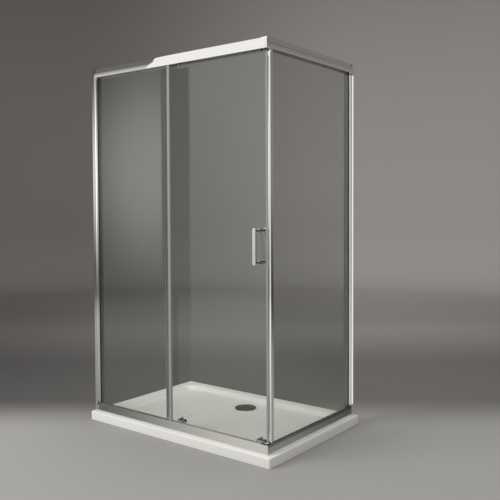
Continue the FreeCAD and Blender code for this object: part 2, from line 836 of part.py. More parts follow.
def make_gaskets():
    """Wedge gaskets on both faces of the fixed panes, at the jamb, the sill and the head rail."""
    strips = []
    outer = (groove_outer, pane_inset - glass_gap)
    inner = (pane_inner + glass_gap, groove_inner)
    foot = (sill_top + gasket_proud - gasket_height, sill_top + gasket_proud)
    outer_head = (head_z - gasket_proud, head_z + 2 * rail_wall - gasket_proud)
    inner_head = (head_z + track_level - gasket_height + gasket_proud, head_z + track_level + gasket_proud)
    edge = (jamb_face - jamb_groove / 2, jamb_face + gasket_proud / 2)
    upright_z = (foot[1] + gasket_proud, outer_head[0] - gasket_proud)
    for line, stop in ((front_line, stile_left), (side_line, side_run - post_back)):
        run = (jamb_face + gasket_proud / 2, stop - gasket_proud / 2)
        for depth, head in ((outer, outer_head), (inner, inner_head)):
            strips.append(block(line, run, depth, foot))
            strips.append(block(line, run, depth, head))
            strips.append(block(line, edge, depth, upright_z))
    save("glass_gaskets", *strips)
    run = (stile_left + stile_width + gasket_proud, front_run - corner_radius - cap_arm_length - joint_gap)
    width = (groove_outer + glass_gap, groove_inner - glass_gap)
    lower = block(front_line, run, width, (sill_top - infill_height - gasket_proud, sill_top - gasket_proud))
    upper = block(front_line, run, width, (head_z + gasket_height, head_z + gasket_height + infill_height))
    save("groove_infills", lower, upper)


# ---- door ---------------------------------------------------------------------------------------

def make_door_glass():
    """The sliding pane, drilled for hangers, handle and roller clamps."""
    pane = block(front_line, (door_left, door_right), (door_inset, door_inner), (door_foot_z, door_top_z))
    through = (door_inset - 1, door_inner + 1)
    holes = []
    for run in hanger_positions:
        holes.append(rod(front_line, run, head_z + stud_level, through, stud_hole))
        for offset in (-clamp_screw_offset, clamp_screw_offset):
            holes.append(rod(front_line, run + offset, clamp_level(), through, clamp_hole))
    for level in handle_levels():
        holes.append(rod(front_line, handle_centre, level, through, handle_hole_radius))
    save("door_glass", less(pane, *holes))


def clamp_level():
    """Height of the screws that clamp the roller housings to the glass."""
    return rim_z + (housing_foot + housing_top) / 2


def handle_levels():
    """Heights of the handle's two fixings."""
    return (handle_level - handle_holes / 2, handle_level + handle_holes / 2)


def make_door_seals():
    """Clip-on seals: a finned one on the trailing edge and a magnetic one on the leading edge."""
    near = door_inset - seal_wall
    far = door_inner + seal_wall
    low = sill_top + seal_low
    high = head_z - seal_high
    left = door_left - trailing_overhang
    right = left + trailing_clip
    touch = pane_inner + fin_air
    outline = [
        (left, near), (left + 2.0, near), (left + 0.6, touch), (left + 1.8, touch), (left + 4.0, near),
        (right, near), (right, door_inset - glass_gap), (door_left - slide_fit, door_inset - glass_gap),
        (door_left - slide_fit, door_inner + glass_gap), (right, door_inner + glass_gap),
        (right, far), (left, far),
    ]
    save("trailing_seal", upright(front_line, low, high, outline))
    tip = magnet_face
    start = tip - seal_clip
    bulb = door_right + slide_fit
    slant = seal_round * (1 - math.sqrt(0.5))
    outline = [
        (start, near), (tip - seal_round, near),
        ((tip - slant, near + slant), (tip, near + seal_round)), (tip, far - seal_round),
        ((tip - slant, far - slant), (tip - seal_round, far)), (start, far),
        (start, door_inner + glass_gap), (bulb, door_inner + glass_gap), (bulb, door_inset - glass_gap),
        (start, door_inset - glass_gap),
    ]
    save("magnetic_seal", upright(front_line, low, high, outline))


def bar_outline(half, depth_z):
    """Stadium outline of the handle's bar, seen square to the glass."""
    radius = handle_width / 2
    low = handle_level - half + radius
    high = handle_level + half - radius

    def at(run, z):
        return front_line(run, depth_z, z)

    left = handle_centre - radius
    right = handle_centre + radius
    return [
        at(left, low), at(left, high), (at(handle_centre, high + radius), at(right, high)), at(right, low),
        (at(handle_centre, low - radius), at(left, low)),
    ]


def handle_bar(back, outward):
    """One handle: a flat rounded bar on two standoffs; back is its glass side, outward is -1 or 1."""
    points = bar_outline(handle_length / 2, back)
    thickness = front_line(0, outward * handle_thickness, 0) - front_line(0, 0, 0)
    bar = solid(Part.Face(wire(points)).extrude(thickness))
    face_edges = []
    for edge in bar.Edges:
        box = edge.BoundBox
        if abs(box.YMax - box.YMin) < 1e-3:
            face_edges.append(edge)
    return bar.makeFillet(handle_thickness * 0.3, face_edges)


def make_handle():
    """Outer and inner handles, bolted to each other through the glass over soft washers."""
    for name, surface, outward, reach in (("outer_handle", door_inset - handle_washer, -1, outer_reach),
                                          ("inner_handle", door_inner + handle_washer, 1, inner_reach)):
        back = surface + outward * (reach - handle_washer)
        pieces = [handle_bar(back, outward)]
        for level in handle_levels():
            neck = sorted((surface, back + outward * 2.0))
            foot = sorted((surface, surface + outward * handle_foot_height))
            pieces.append(rod(front_line, handle_centre, level, neck, standoff_radius))
            pieces.append(rod(front_line, handle_centre, level, foot, handle_foot_radius))
        shape = fused(pieces)
        for level in handle_levels():
            socket = sorted((surface - outward, surface + outward * handle_socket))
            shape = less(shape, rod(front_line, handle_centre, level, socket, handle_bolt_radius + axle_air))
        save(name, shape)
    washers = []
    bolts = []
    bolt_span = (door_inset - handle_bolt_reach, door_inner + handle_bolt_reach)
    washer_bore = handle_bolt_radius + axle_air
    for level in handle_levels():
        bolts.append(rod(front_line, handle_centre, level, bolt_span, handle_bolt_radius))
        for depth in ((door_inset - handle_washer, door_inset), (door_inner, door_inner + handle_washer)):
            disc = rod(front_line, handle_centre, level, depth, handle_foot_radius)
            washers.append(less(disc, rod(front_line, handle_centre, level, depth, washer_bore)))
    save("handle_bolts", *bolts)
    save("handle_washers", *washers)


# ---- top hangers --------------------------------------------------------------------------------

def hanger(run):
    """Pressed plate: a wide upper bar for the axles that narrows to a round foot at the stud."""
    low = head_z + stud_level
    high = head_z + hanger_top
    depth = door_inner
    foot = 9.0
    radius = 6.0
    slant = radius * (1 - math.sqrt(0.5))

    def at(offset, z):
        return front_line(run + offset, depth, z)

    waist = wheel_axis - 7.0
    points = [
        at(-foot, low), (at(0, low - foot), at(foot, low)), at(foot + 3.0, waist - 9.0),
        at(hanger_half, waist), at(hanger_half, high - radius),
        (at(hanger_half - slant, high - slant), at(hanger_half - radius, high)),
        at(radius - hanger_half, high),
        (at(slant - hanger_half, high - slant), at(-hanger_half, high - radius)),
        at(-hanger_half, waist), at(-foot - 3.0, waist - 9.0),
    ]
    thickness = front_line(0, hanger_plate, 0) - front_line(0, 0, 0)
    plate = solid(Part.Face(wire(points)).extrude(thickness))
    span = (depth - 1, depth + hanger_plate + 1)
    holes = [rod(front_line, run, low, span, stud_radius + axle_air)]
    for offset in (-wheel_offset, wheel_offset):
        holes.append(rod(front_line, run + offset, wheel_axis, span, axle_radius + axle_air))
    return less(plate, *holes)


def grooved_wheel(run, z, roll, flange, bore):
    """Wheel with two low flanges and a groove that runs on the rail's rib."""
    depth = (rib_middle - wheel_width / 2, rib_middle + wheel_width / 2)
    half = wheel_groove / 2
    chamfer = 0.5
    contour = [
        (depth[0], bore), (depth[0], flange - chamfer), (depth[0] + chamfer, flange),
        (rib_middle - half - 0.3, flange), (rib_middle - half, roll),
        (rib_middle + half, roll), (rib_middle + half + 0.3, flange),
        (depth[1] - chamfer, flange), (depth[1], flange - chamfer), (depth[1], bore),
    ]
    points = [front_line(run, d, z + r) for d, r in contour]
    axis = front_line(0, 1, 0) - front_line(0, 0, 0)
    return solid(Part.Face(wire(points)).revolve(front_line(run, 0, z), axis, 360))


def make_hangers():
    """Two hangers with their studs, cap nuts and bushes, four axles, wheels and bearings."""
    names = ("left", "right")
    nuts = []
    bushes = []
    axles = []
    wheel = 0
    for name, run in zip(names, hanger_positions):
        save("hanger_" + name, hanger(run))
        level = head_z + stud_level
        stud = rod(front_line, run, level, (door_inset - 2.5, door_inner + hanger_plate), stud_radius)
        head_face = door_inner + hanger_plate
        head = rod(front_line, run, level, (head_face, head_face + stud_head_height), stud_head_radius)
        cap_face = door_inset - bush_collar - cap_thickness
        cap = rod(front_line, run, level, (cap_face, door_inset - bush_collar), cap_radius)
        crown = [e for e in cap.Edges if e.Closed and outer_edge(front_line, e, cap_face)]
        cap = cap.makeFillet(cap_thickness * 0.3, crown)
        nuts.append(fused([stud, head, cap]))
        bush = rod(front_line, run, level, (door_inset, door_inner), stud_hole - 0.1)
        collar = rod(front_line, run, level, (door_inset - bush_collar, door_inset), cap_radius)
        bore = rod(front_line, run, level, (door_inset - 1, door_inner + 1), stud_radius + axle_air)
        bushes.append(less(fused([bush, collar]), bore))
        for offset in (-wheel_offset, wheel_offset):
            wheel += 1
            middle = run + offset
            axle_span = (door_inner, rib_middle + wheel_width / 2)
            shaft = rod(front_line, middle, wheel_axis, axle_span, axle_radius)
            shoulder_span = (head_face, rib_middle - bearing_width / 2 - axle_air)
            shoulder = rod(front_line, middle, wheel_axis, shoulder_span, axle_radius + axle_shoulder)
            axles.append(fused([shaft, shoulder]))
            tyre = grooved_wheel(middle, wheel_axis, wheel_roll, wheel_flange, bearing_outer)
            save("top_wheel_%d" % wheel, tyre)
            span = (rib_middle - bearing_width / 2, rib_middle + bearing_width / 2)
            outer = rod(front_line, middle, wheel_axis, span, bearing_outer)
            bore = rod(front_line, middle, wheel_axis, span, axle_radius + axle_air)
            save("top_bearing_%d" % wheel, less(outer, bore))
    save("hanger_cap_nuts", *nuts)
    save("hanger_bushes", *bushes)
    save("top_axles", *axles)


# ---- bottom rollers -----------------------------------------------------------------------------

def carriage(run):
    """Spring carriage: an axle bar with two pins, a stem in the housing and a finger tab on top."""
    near = door_inner + 0.35
    far = near + carriage_thickness
    bar = block(front_line, (run - carriage_half, run + carriage_half), (near, far),
                (roller_axis - 4.5, roller_axis + 4.5))
    tab_top = rim_z + housing_top + tab_rise
    stem = block(front_line, (run - stem_half, run + stem_half), (near, far), (roller_axis, tab_top))
    tab = block(front_line, (run - stem_half, run + stem_half), (near, near + tab_reach),
                (tab_top - carriage_thickness, tab_top))
    seat_z = rim_z + housing_foot
    half = spring_slot_half - 0.4
    spring_seat = block(front_line, (run - half, run + half), (near, near + housing_depth - 2.6),
                        (seat_z, seat_z + carriage_seat))
    pieces = [bar, stem, tab, spring_seat]
    pin = (near, rib_middle + wheel_width / 2 + 0.6)
    for offset in (-roller_offset, roller_offset):
        pieces.append(rod(front_line, run + offset, roller_axis, pin, axle_radius))
    return fused(pieces)


def housing(run):
    """Moulded housing on the glass, with a humped top, a groove for the stem and a spring pocket."""
    near = door_inner
    far = near + housing_depth
    low = rim_z + housing_foot
    high = rim_z + housing_top
    hump = housing_half * 0.62

    def at(offset, z):
        return front_line(run + offset, near, z)

    points = [
        at(-housing_half, low), at(-housing_half, high - 6.0),
        (at(-hump - 3.0, high - 0.4), at(-stem_half - 2.0, high - 2.5)),
        at(stem_half + 2.0, high - 2.5),
        (at(hump + 3.0, high - 0.4), at(housing_half, high - 6.0)), at(housing_half, low),
    ]
    depth = front_line(0, housing_depth, 0) - front_line(0, 0, 0)
    body = solid(Part.Face(wire(points)).extrude(depth))
    stem_room = block(front_line, (run - stem_half - slide_fit, run + stem_half + slide_fit),
                      (near - 1, near + carriage_thickness + 0.7), (low - 1, high + 1))
    pocket = block(front_line, (run - spring_slot_half, run + spring_slot_half),
                   (near - 1, far - carriage_thickness), (low - 1, spring_ceiling))
    screw_holes = []
    bore = clamp_screw_radius + axle_air
    for offset in (-clamp_screw_offset, clamp_screw_offset):
        screw_holes.append(rod(front_line, run + offset, clamp_level(), (near - 1, far - 2.0), bore))
    return less(body, stem_room, pocket, *screw_holes)


def coil(run, low, high):
    """Compression spring: one round wire on a helix, standing between low and high."""
    pitch = (high - low - 2 * spring_wire) / spring_turns
    radius = spring_radius - spring_wire
    centre = front_line(run, door_inner + carriage_thickness + 0.35 + spring_radius + 1.1, low + spring_wire)
    helix = Part.makeHelix(pitch, pitch * spring_turns, radius)
    start = vec(radius, 0, 0)
    circle = Part.Wire([Part.makeCircle(spring_wire, start, vec(0, 2 * math.pi * radius, pitch))])
    spring = Part.Wire(helix).makePipeShell([circle], True, True)
    spring.translate(centre)
    return solid(spring)


def make_bottom_rollers():
    """Two quick-release roller units: housing, clamp plate and screws, carriage, spring and wheels."""
    plates = []
    screws = []
    wheel = 0
    for name, run in zip(("left", "right"), hanger_positions):
        save("roller_housing_" + name, housing(run))
        save("roller_carriage_" + name, carriage(run))
        save("release_spring_" + name, coil(run, rim_z + housing_foot + carriage_seat, spring_ceiling))
        z = (rim_z + housing_foot, rim_z + housing_top - 3.0)
        width = (run - housing_half, run + housing_half)
        plate = block(front_line, width, (door_inset - clamp_plate, door_inset), z)
        corners = [e for e in plate.Edges if abs(e.BoundBox.YMax - e.BoundBox.YMin) > 1.0]
        plate = plate.makeFillet(4.0, corners)
        for offset in (-clamp_screw_offset, clamp_screw_offset):
            middle = run + offset
            span = (door_inset - clamp_plate - 1, door_inset + 1)
            plate = plate.cut(rod(front_line, middle, clamp_level(), span, clamp_screw_radius + axle_air))
            face_depth = door_inset - clamp_plate
            shank = rod(front_line, middle, clamp_level(), (face_depth, door_inner + 6.0), clamp_screw_radius)
            head = rod(front_line, middle, clamp_level(), (face_depth - 1.8, face_depth), clamp_screw_head)
            screws.append(fused([shank, head]))
            wheel += 1
            wheel_run = run + math.copysign(roller_offset, offset)
            bore = axle_radius + axle_air
            tyre = grooved_wheel(wheel_run, roller_axis, roller_roll, roller_flange, bore)
            save("bottom_wheel_%d" % wheel, tyre)
        plates.append(solid(plate))
    save("roller_clamp_plates", *plates)
    save("roller_clamp_screws", *screws)


def make_buffer():
    """Rubber buffer on the head rail's track, which stops the left hanger's wheel when the door is open."""
    wheel_edge = hanger_positions[0] - wheel_offset - wheel_flange - travel
    run = (wheel_edge - slide_fit - buffer_length, wheel_edge - slide_fit)
    ledge = head_z + track_level
    depth = (door_inner + hanger_plate + 0.7, rail_depth - rail_wall - slide_fit)
    body = block(front_line, run, depth, (ledge, ledge + 2 * wheel_flange))
    slot_depth = (rib_middle - rib_width / 2 - 0.1, rib_middle + rib_width / 2 + 0.1)
    slot = block(front_line, (run[0] - 1, run[1] + 1), slot_depth, (ledge - 1, ledge + rib_height + 0.1))
    save("open_door_buffer", less(body, slot))


os.makedirs("parts", exist_ok=True)
make_tray()
make_waste()
make_rails()
make_corner_caps()
make_end_blocks()
make_wall_channels()
make_jambs()
make_jamb_screws()
make_post()
make_fixed_glass()
make_gaskets()
make_door_glass()
make_door_seals()
make_handle()
make_hangers()
make_bottom_rollers()
make_buffer()
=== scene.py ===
"""The looks of a corner shower enclosure with a sliding door, on its tray, in metres.

The sections follow the order in which the enclosure is put together: tray and waste, rails and
corner caps, fixing channels and jambs, corner post, fixed glass, door glass and seals, handles,
top hangers, bottom rollers. Studio and camera come last.
"""
import math

import bmesh
import bpy
import numpy as np
from mathutils import Matrix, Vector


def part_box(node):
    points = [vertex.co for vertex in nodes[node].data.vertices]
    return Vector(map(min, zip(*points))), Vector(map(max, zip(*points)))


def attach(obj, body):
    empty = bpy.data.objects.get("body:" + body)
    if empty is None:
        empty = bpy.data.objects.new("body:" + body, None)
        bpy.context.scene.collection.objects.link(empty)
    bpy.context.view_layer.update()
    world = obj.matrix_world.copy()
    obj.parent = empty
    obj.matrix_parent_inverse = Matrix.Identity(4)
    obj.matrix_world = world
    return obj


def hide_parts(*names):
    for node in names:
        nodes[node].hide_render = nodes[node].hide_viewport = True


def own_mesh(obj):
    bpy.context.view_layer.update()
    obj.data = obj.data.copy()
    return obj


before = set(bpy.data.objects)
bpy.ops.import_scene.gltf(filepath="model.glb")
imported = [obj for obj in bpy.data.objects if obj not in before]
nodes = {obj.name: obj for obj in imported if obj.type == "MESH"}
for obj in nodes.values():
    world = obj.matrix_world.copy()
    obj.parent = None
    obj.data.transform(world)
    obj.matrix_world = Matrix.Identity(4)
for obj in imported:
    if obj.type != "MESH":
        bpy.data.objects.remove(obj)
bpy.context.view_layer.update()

# ---- tray ---------------------------------------------------------------------------------------
# The tray is one slab of stone resin cast in a mould and faced with white gel coat. A flat rim
# carries the screen, and a coved basin with a seat for the waste falls behind it.

tray_low, tray_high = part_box("tray")
tray_corner = 0.006
tray_edge = 0.004
rim_start = 0.006
rim_start_corner = 0.0018
rim_fixed = 0.056
rim_open = 0.086
basin_lip = 0.006
basin_corner = 0.070
cove = 0.038
cove_lead = 0.92
floor_level = 0.025
flange_radius = 0.056
waste_middle = np.array([0.0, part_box("waste_flange")[0].y + flange_radius])
waste_seat = 0.062
waste_seat_depth = 0.003
waste_seat_edge = 0.0003
waste_apron = 0.012
waste_hole = 0.045
gel_white = (0.835, 0.825, 0.795, 1.0)


def piece(name, points, faces, body, material, sharp=40):
    """A mesh from points and faces, turned right side out, shaded smooth except across sharp edges."""
    mesh = bpy.data.meshes.new(name)
    mesh.from_pydata(np.asarray(points, float).reshape(-1, 3).tolist(), [], faces)
    work = bmesh.new()
    work.from_mesh(mesh)
    if work.calc_volume(signed=True) < 0:
        bmesh.ops.reverse_faces(work, faces=work.faces)
    work.to_mesh(mesh)
    work.free()
    mesh.shade_smooth()
    mesh.set_sharp_from_angle(angle=math.radians(sharp))
    shape = bpy.data.objects.new(name, mesh)
    bpy.context.scene.collection.objects.link(shape)
    mesh.materials.append(material)
    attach(shape, body)
    return shape


def bands(rings, count, closed=False):
    """Quads between neighbouring rings of count points each; closed joins the last ring to the first."""
    ring = np.arange(rings if closed else rings - 1)[:, None]
    step = np.arange(count)[None, :]
    upper = (ring + 1) % rings
    after = (step + 1) % count
    quads = [ring * count + step, ring * count + after, upper * count + after, upper * count + step]
    return np.stack(quads, -1).reshape(-1, 4).tolist()


def lids(rings, count):
    """The two flat ends of a stack of rings."""
    start = list(range(count))
    end = list(range((rings - 1) * count, rings * count))
    return [start[::-1], end]


def rounded_ring(low, high, radius, level, arc_steps=10, side_steps=14):
    """A rectangle with round corners at one level: each corner is its centre plus radius times a turning
    unit vector, and each side is a straight blend from one corner's end to the next corner's start."""
    turn = np.linspace(0, math.pi / 2, arc_steps)[None, :] + (np.arange(4) - 1)[:, None] * math.pi / 2
    centre = np.array([[high[0] - radius, low[1] + radius], [high[0] - radius, high[1] - radius],
                       [low[0] + radius, high[1] - radius], [low[0] + radius, low[1] + radius]])
    corner = centre[:, None, :] + radius * np.stack([np.cos(turn), np.sin(turn)], -1)
    share = np.linspace(0, 1, side_steps + 2)[1:-1][None, :, None]
    side = corner[:, -1:, :] * (1 - share) + np.roll(corner, -1, 0)[:, :1, :] * share
    flat = np.concatenate([corner, side], 1).reshape(-1, 2)
    return np.column_stack([flat, np.full(len(flat), level)])


def node_tree(name):
    """A new node material with its tree, its shader and the object's own coordinates."""
    material = bpy.data.materials.new(name)
    material.use_nodes = True
    tree = material.node_tree
    place = tree.nodes.new("ShaderNodeTexCoord")
    return material, tree, tree.nodes["Principled BSDF"], place.outputs["Object"]


def spread(tree, coordinates, scale, detail, low, high, stretch=(1, 1, 1)):
    """Noise over the object, brought to the range from low to high."""
    mapping = tree.nodes.new("ShaderNodeMapping")
    mapping.inputs["Scale"].default_value = stretch
    noise = tree.nodes.new("ShaderNodeTexNoise")
    noise.inputs["Scale"].default_value = scale
    noise.inputs["Detail"].default_value = detail
    reach = tree.nodes.new("ShaderNodeMapRange")
    reach.inputs["From Min"].default_value = 0.3
    reach.inputs["From Max"].default_value = 0.7
    reach.inputs["To Min"].default_value = low
    reach.inputs["To Max"].default_value = high
    tree.links.new(coordinates, mapping.inputs["Vector"])
    tree.links.new(mapping.outputs["Vector"], noise.inputs["Vector"])
    tree.links.new(noise.outputs["Fac"], reach.inputs["Value"])
    return reach.outputs["Result"]


def dapple(tree, shader, factor, dark, light):
    """The surface's colour wanders between dark and light with factor."""
    mix = tree.nodes.new("ShaderNodeMix")
    mix.data_type = "RGBA"
    mix.inputs["A"].default_value = dark
    mix.inputs["B"].default_value = light
    tree.links.new(factor, mix.inputs["Factor"])
    tree.links.new(mix.outputs["Result"], shader.inputs["Base Color"])


def bump(tree, shader, height, strength, distance):
    """Small relief from a height."""
    relief = tree.nodes.new("ShaderNodeBump")
    relief.inputs["Strength"].default_value = strength
    relief.inputs["Distance"].default_value = distance
    tree.links.new(height, relief.inputs["Height"])
    tree.links.new(relief.outputs["Normal"], shader.inputs["Normal"])


def gel_coat():
    """White gel coat: a little uneven in tone and gloss, with the faint orange peel of a sprayed mould."""
    material, tree, shader, place = node_tree("gel_coat")
    shader.inputs["Specular IOR Level"].default_value = 0.45
    shader.inputs["Coat Weight"].default_value = 0.3
    shader.inputs["Coat Roughness"].default_value = 0.12
    tone = spread(tree, place, 2.0, 2.0, 0.0, 1.0)
    dapple(tree, shader, tone, tuple(c * 0.985 for c in gel_white[:3]) + (1.0,), gel_white)
    gloss = spread(tree, place, 9.0, 3.0, 0.27, 0.33)
    tree.links.new(gloss, shader.inputs["Roughness"])
    bump(tree, shader, spread(tree, place, 320.0, 2.0, 0.0, 1.0), 0.03, 0.0003)
    return material


def tray_surface():
    """Nested rings: from the waste hole out under the slab, up its side, in over the rim, down the cove and
    over the floor to the hole. Rim and cove are rounded rectangles, floor and seat circles."""
    low = np.array(tray_low[:2])
    high = np.array(tray_high[:2])
    top = tray_high.z
    basin_low = low + (rim_fixed, rim_open)
    basin_high = high - (rim_open, rim_fixed)
    edge_turn = np.linspace(0, math.pi / 2, 6)
    edge_in = tray_edge * (1 - np.cos(edge_turn))
    edge_up = top - tray_edge * (1 - np.sin(edge_turn))
    slope = np.linspace(0, 1, 25)
    inward = slope * (cove + basin_lip) - basin_lip
    fall = top - (top - floor_level) * cove_fall(slope)
    rings = [rounded_ring(low, high, tray_corner, 0.0)]
    rings += [rounded_ring(low + i, high - i, tray_corner - i, z) for i, z in zip(edge_in, edge_up)]
    rings += [rounded_ring(low + rim_start, high - rim_start, rim_start_corner, top)]
    rings += [rounded_ring(basin_low - basin_lip, basin_high + basin_lip, basin_corner + basin_lip, top)]
    rings += [rounded_ring(basin_low + i, basin_high - i, basin_corner - i, z) for i, z in zip(inward, fall)]
    aim = rings[-1][:, :2] - waste_middle
    aim /= np.linalg.norm(aim, axis=1)[:, None]
    seat_floor = floor_level - waste_seat_depth
    seat = [(waste_seat + waste_apron, floor_level), (waste_seat + 0.001, floor_level),
            (waste_seat, floor_level - waste_seat_edge), (waste_seat - waste_seat_depth, seat_floor),
            (waste_hole, seat_floor), (waste_hole, 0.0)]
    rings += [np.column_stack([waste_middle + aim * r, np.full(len(aim), z)]) for r, z in seat]
    return np.array(rings)


def cove_fall(share):
    """The cove's fall from rim to floor: three times the square less twice the cube of the share, which is
    first raised to the power cove_lead, so that the fall is steepest a little nearer the rim."""
    raised = share ** cove_lead
    return raised * raised * (3 - 2 * raised)


gel = gel_coat()
rings = tray_surface()
faces = bands(rings.shape[0], rings.shape[1], closed=True)
tray = piece("cast_tray", rings, faces, "enclosure", gel, 32)
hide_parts("tray")

# ---- waste --------------------------------------------------------------------------------------
# A chromed brass flange sits on a rubber washer in the tray's seat. Its cover is a spun, chromed
# dome that rests on four legs, stands just clear of the tray and lifts out for cleaning.

cover_low, cover_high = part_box("drain_cover")
cover_radius = (cover_high.x - cover_low.x) / 2
cover_clearance = 0.0026
cover_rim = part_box("waste_flange")[1].z + cover_clearance
cover_crown = cover_high.z
cover_sheet = 0.0018
cover_edge = 0.0015
cover_edge_round = 0.0008
underside_share = 0.97
leg_circle = 0.034
leg_radius = 0.0026
leg_taper = 0.001
leg_tip_share = 0.7


def turned(profile, centre, axis, segments):
    """A turned surface about an axis square to X: profile holds (radius, height) along the axis, and each of
    its points runs round it as radius times a turning unit vector. Flat discs close both ends."""
    profile = np.asarray(profile, float)
    up = np.asarray(axis, float)
    side = np.array([1.0, 0.0, 0.0])
    across = np.cross(up, side)
    turn = np.linspace(0, 2 * math.pi, segments, endpoint=False)
    around = np.cos(turn)[:, None] * side + np.sin(turn)[:, None] * across
    points = np.asarray(centre) + profile[:, 0, None, None] * around[None] + profile[:, 1, None, None] * up
    return points.reshape(-1, 3), bands(len(profile), segments) + lids(len(profile), segments)


def joined(parts):
    """Several shells in one mesh: each shell's faces are counted on from the points before it."""
    points = np.concatenate([p for p, _ in parts])
    counts = np.cumsum([0] + [len(p) for p, _ in parts])
    faces = [[i + int(n) for i in f] for (_, shell), n in zip(parts, counts) for f in shell]
    return points, faces


def bright_metal(name, colour, roughness, stretch, streak=0.05):
    """Polished metal: fine streaks along the way it was drawn or polished, and faint patches of haze."""
    material, tree, shader, place = node_tree(name)
    shader.inputs["Metallic"].default_value = 1.0
    fine = spread(tree, place, 60.0, 3.0, 0.0, 1.0, stretch)
    dapple(tree, shader, fine, tuple(c * (1 - streak) for c in colour) + (1.0,), colour + (1.0,))
    haze = spread(tree, place, 5.0, 4.0, roughness * 0.75, roughness * 1.35)
    tree.links.new(haze, shader.inputs["Roughness"])
    bump(tree, shader, fine, 0.05, 0.0002)
    return material


chrome_colour = (0.88, 0.885, 0.89)
chrome = bright_metal("chrome_plate", chrome_colour, 0.07, (1, 1, 1), 0.02)
# The spun cover's chrome gets a dark base colour: painted shade that stands in for the dark reflection of the
# room in the dome.
painted_dark_cover_chrome = bright_metal("spun_cover_chrome_painted_dark", (0.22, 0.22, 0.213), 0.14, (1, 1, 1), 0.04)
dome_span = np.linspace(0.03, 1, 30)
dome_height = cover_crown - (cover_crown - cover_rim - cover_edge) * dome_span ** 2
edge_turn = np.linspace(0, math.pi, 7)[1:-1]
edge_out = cover_radius - cover_edge_round + cover_edge_round * np.sin(edge_turn)
edge_up = cover_rim + cover_edge_round + (cover_edge - cover_edge_round) * np.cos(edge_turn)
cover_profile = np.concatenate([
    np.column_stack([cover_radius * dome_span[:-1], dome_height[:-1]]),
    np.column_stack([edge_out, edge_up]),
    np.column_stack([cover_radius * dome_span[::-1] * underside_share, dome_height[::-1] - cover_sheet]),
])
waste_point = np.array([waste_middle[0], waste_middle[1], 0.0])
shells = [turned(cover_profile, waste_point, (0, 0, 1), 96)]
leg_foot = cover_low.z
leg_top = cover_crown - 1.5 * cover_sheet
for leg in range(4):
    angle = math.pi / 4 + leg * math.pi / 2
    foot = waste_point + leg_circle * np.array([math.cos(angle), math.sin(angle), 0.0])
    leg_profile = [(leg_radius * leg_tip_share, leg_foot), (leg_radius, leg_foot + leg_taper),
                   (leg_radius, leg_top)]
    shells.append(turned(leg_profile, foot, (0, 0, 1), 20))
points, faces = joined(shells)
cover = piece("waste_cover", points, faces, "drain_cover", painted_dark_cover_chrome, 35)
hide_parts("drain_cover")


def dark_rubber(name, colour, roughness):
    """Soft black rubber: dull, slightly mottled, with a fine grain."""
    material, tree, shader, place = node_tree(name)
    tone = spread(tree, place, 30.0, 3.0, 0.0, 1.0)
    dapple(tree, shader, tone, tuple(c * 0.8 for c in colour) + (1.0,), colour + (1.0,))
    gloss = spread(tree, place, 55.0, 2.0, roughness * 0.85, roughness * 1.1)
    tree.links.new(gloss, shader.inputs["Roughness"])
    bump(tree, shader, spread(tree, place, 900.0, 2.0, 0.0, 1.0), 0.15, 0.0003)
    return material


rubber = dark_rubber("black_rubber", (0.022, 0.022, 0.023), 0.62)


def dress(names, material):
    """Carried-over nodes keep their shape and take this material."""
    for name in names:
        nodes[name].data.materials.clear()
        nodes[name].data.materials.append(material)


dress(["waste_flange"], chrome)
dress(["waste_washer", "open_door_buffer"], rubber)

# ---- rails --------------------------------------------------------------------------------------
# Head rails and sills are aluminium extrusions, polished and anodised bright. The head rail has a
# bulging fascia, a glass groove and a track; the sill has a leaning front and a roller channel.
# Both are mitred at the open corner.

front_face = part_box("front_sill")[0].y
side_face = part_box("side_sill")[1].x
head_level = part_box("front_head_rail")[0].z
head_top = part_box("front_head_rail")[1].z
rim_level = tray_high.z
sill_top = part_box("front_sill")[1].z
rail_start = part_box("front_sill")[0].x - tray_low.x
front_run = side_face - tray_low.x
side_run = tray_high.y - front_face
corner_radius = 0.012
saw_gap = 0.0002
MM = 0.001
least_corner = 0.45
widest_ease = 0.3
lead_in = 1.5


def front_line(run, depth, z):
    """Points of the door side: run from the left end, depth in from the rails' outer face."""
    return np.stack(np.broadcast_arrays(tray_low.x + run, front_face + depth, z), -1)


def side_line(run, depth, z):
    """Points of the side screen: run from the back end, depth in from the rails' outer face."""
    return np.stack(np.broadcast_arrays(side_face - depth, tray_high.y - run, z), -1)


def arc(start, middle, end, count=11):
    """Points of the circle through three points, from start to end: its centre comes from the ratio of the
    two chords as complex numbers, and the angle runs evenly between the ends."""
    a, b, c = (complex(*p) for p in (start, middle, end))
    w = (c - a) / (b - a)
    centre = a + (b - a) * (w - abs(w) ** 2) / (2j * w.imag)
    ends = np.unwrap(np.angle([a - centre, b - centre, c - centre]))
    turn = centre + abs(a - centre) * np.exp(1j * np.linspace(ends[0], ends[2], count))
    return np.column_stack([turn.real, turn.imag])


def eased(outline, radius=0.25):
    """A closed outline in millimetres with every real corner eased: each corner becomes a short parabola
    between two points that lie radius away from it, with a straight lead-in so that the flats stay flat in
    the light. A bend under least_corner belongs to an arc and stays."""
    corner = np.asarray(outline, float)
    back = np.roll(corner, 1, 0) - corner
    ahead = np.roll(corner, -1, 0) - corner
    back_length = np.linalg.norm(back, axis=1)
    ahead_length = np.linalg.norm(ahead, axis=1)
    bend = math.pi - np.arccos(np.clip((back * ahead).sum(1) / (back_length * ahead_length), -1, 1))
    cut = np.minimum(radius, widest_ease * np.minimum(back_length, ahead_length)) * (bend > least_corner)
    toward_back = back / back_length[:, None] * cut[:, None]
    toward_ahead = ahead / ahead_length[:, None] * cut[:, None]
    t = np.linspace(0, 1, 5)[:, None, None]
    curve = corner + (1 - t) ** 2 * toward_back + t ** 2 * toward_ahead
    first = (corner + lead_in * toward_back)[None]
    last = (corner + lead_in * toward_ahead)[None]
    points = np.concatenate([first, curve, last]).transpose(1, 0, 2).reshape(-1, 2)
    return points[np.linalg.norm(points - np.roll(points, 1, 0), axis=1) > 1e-6]


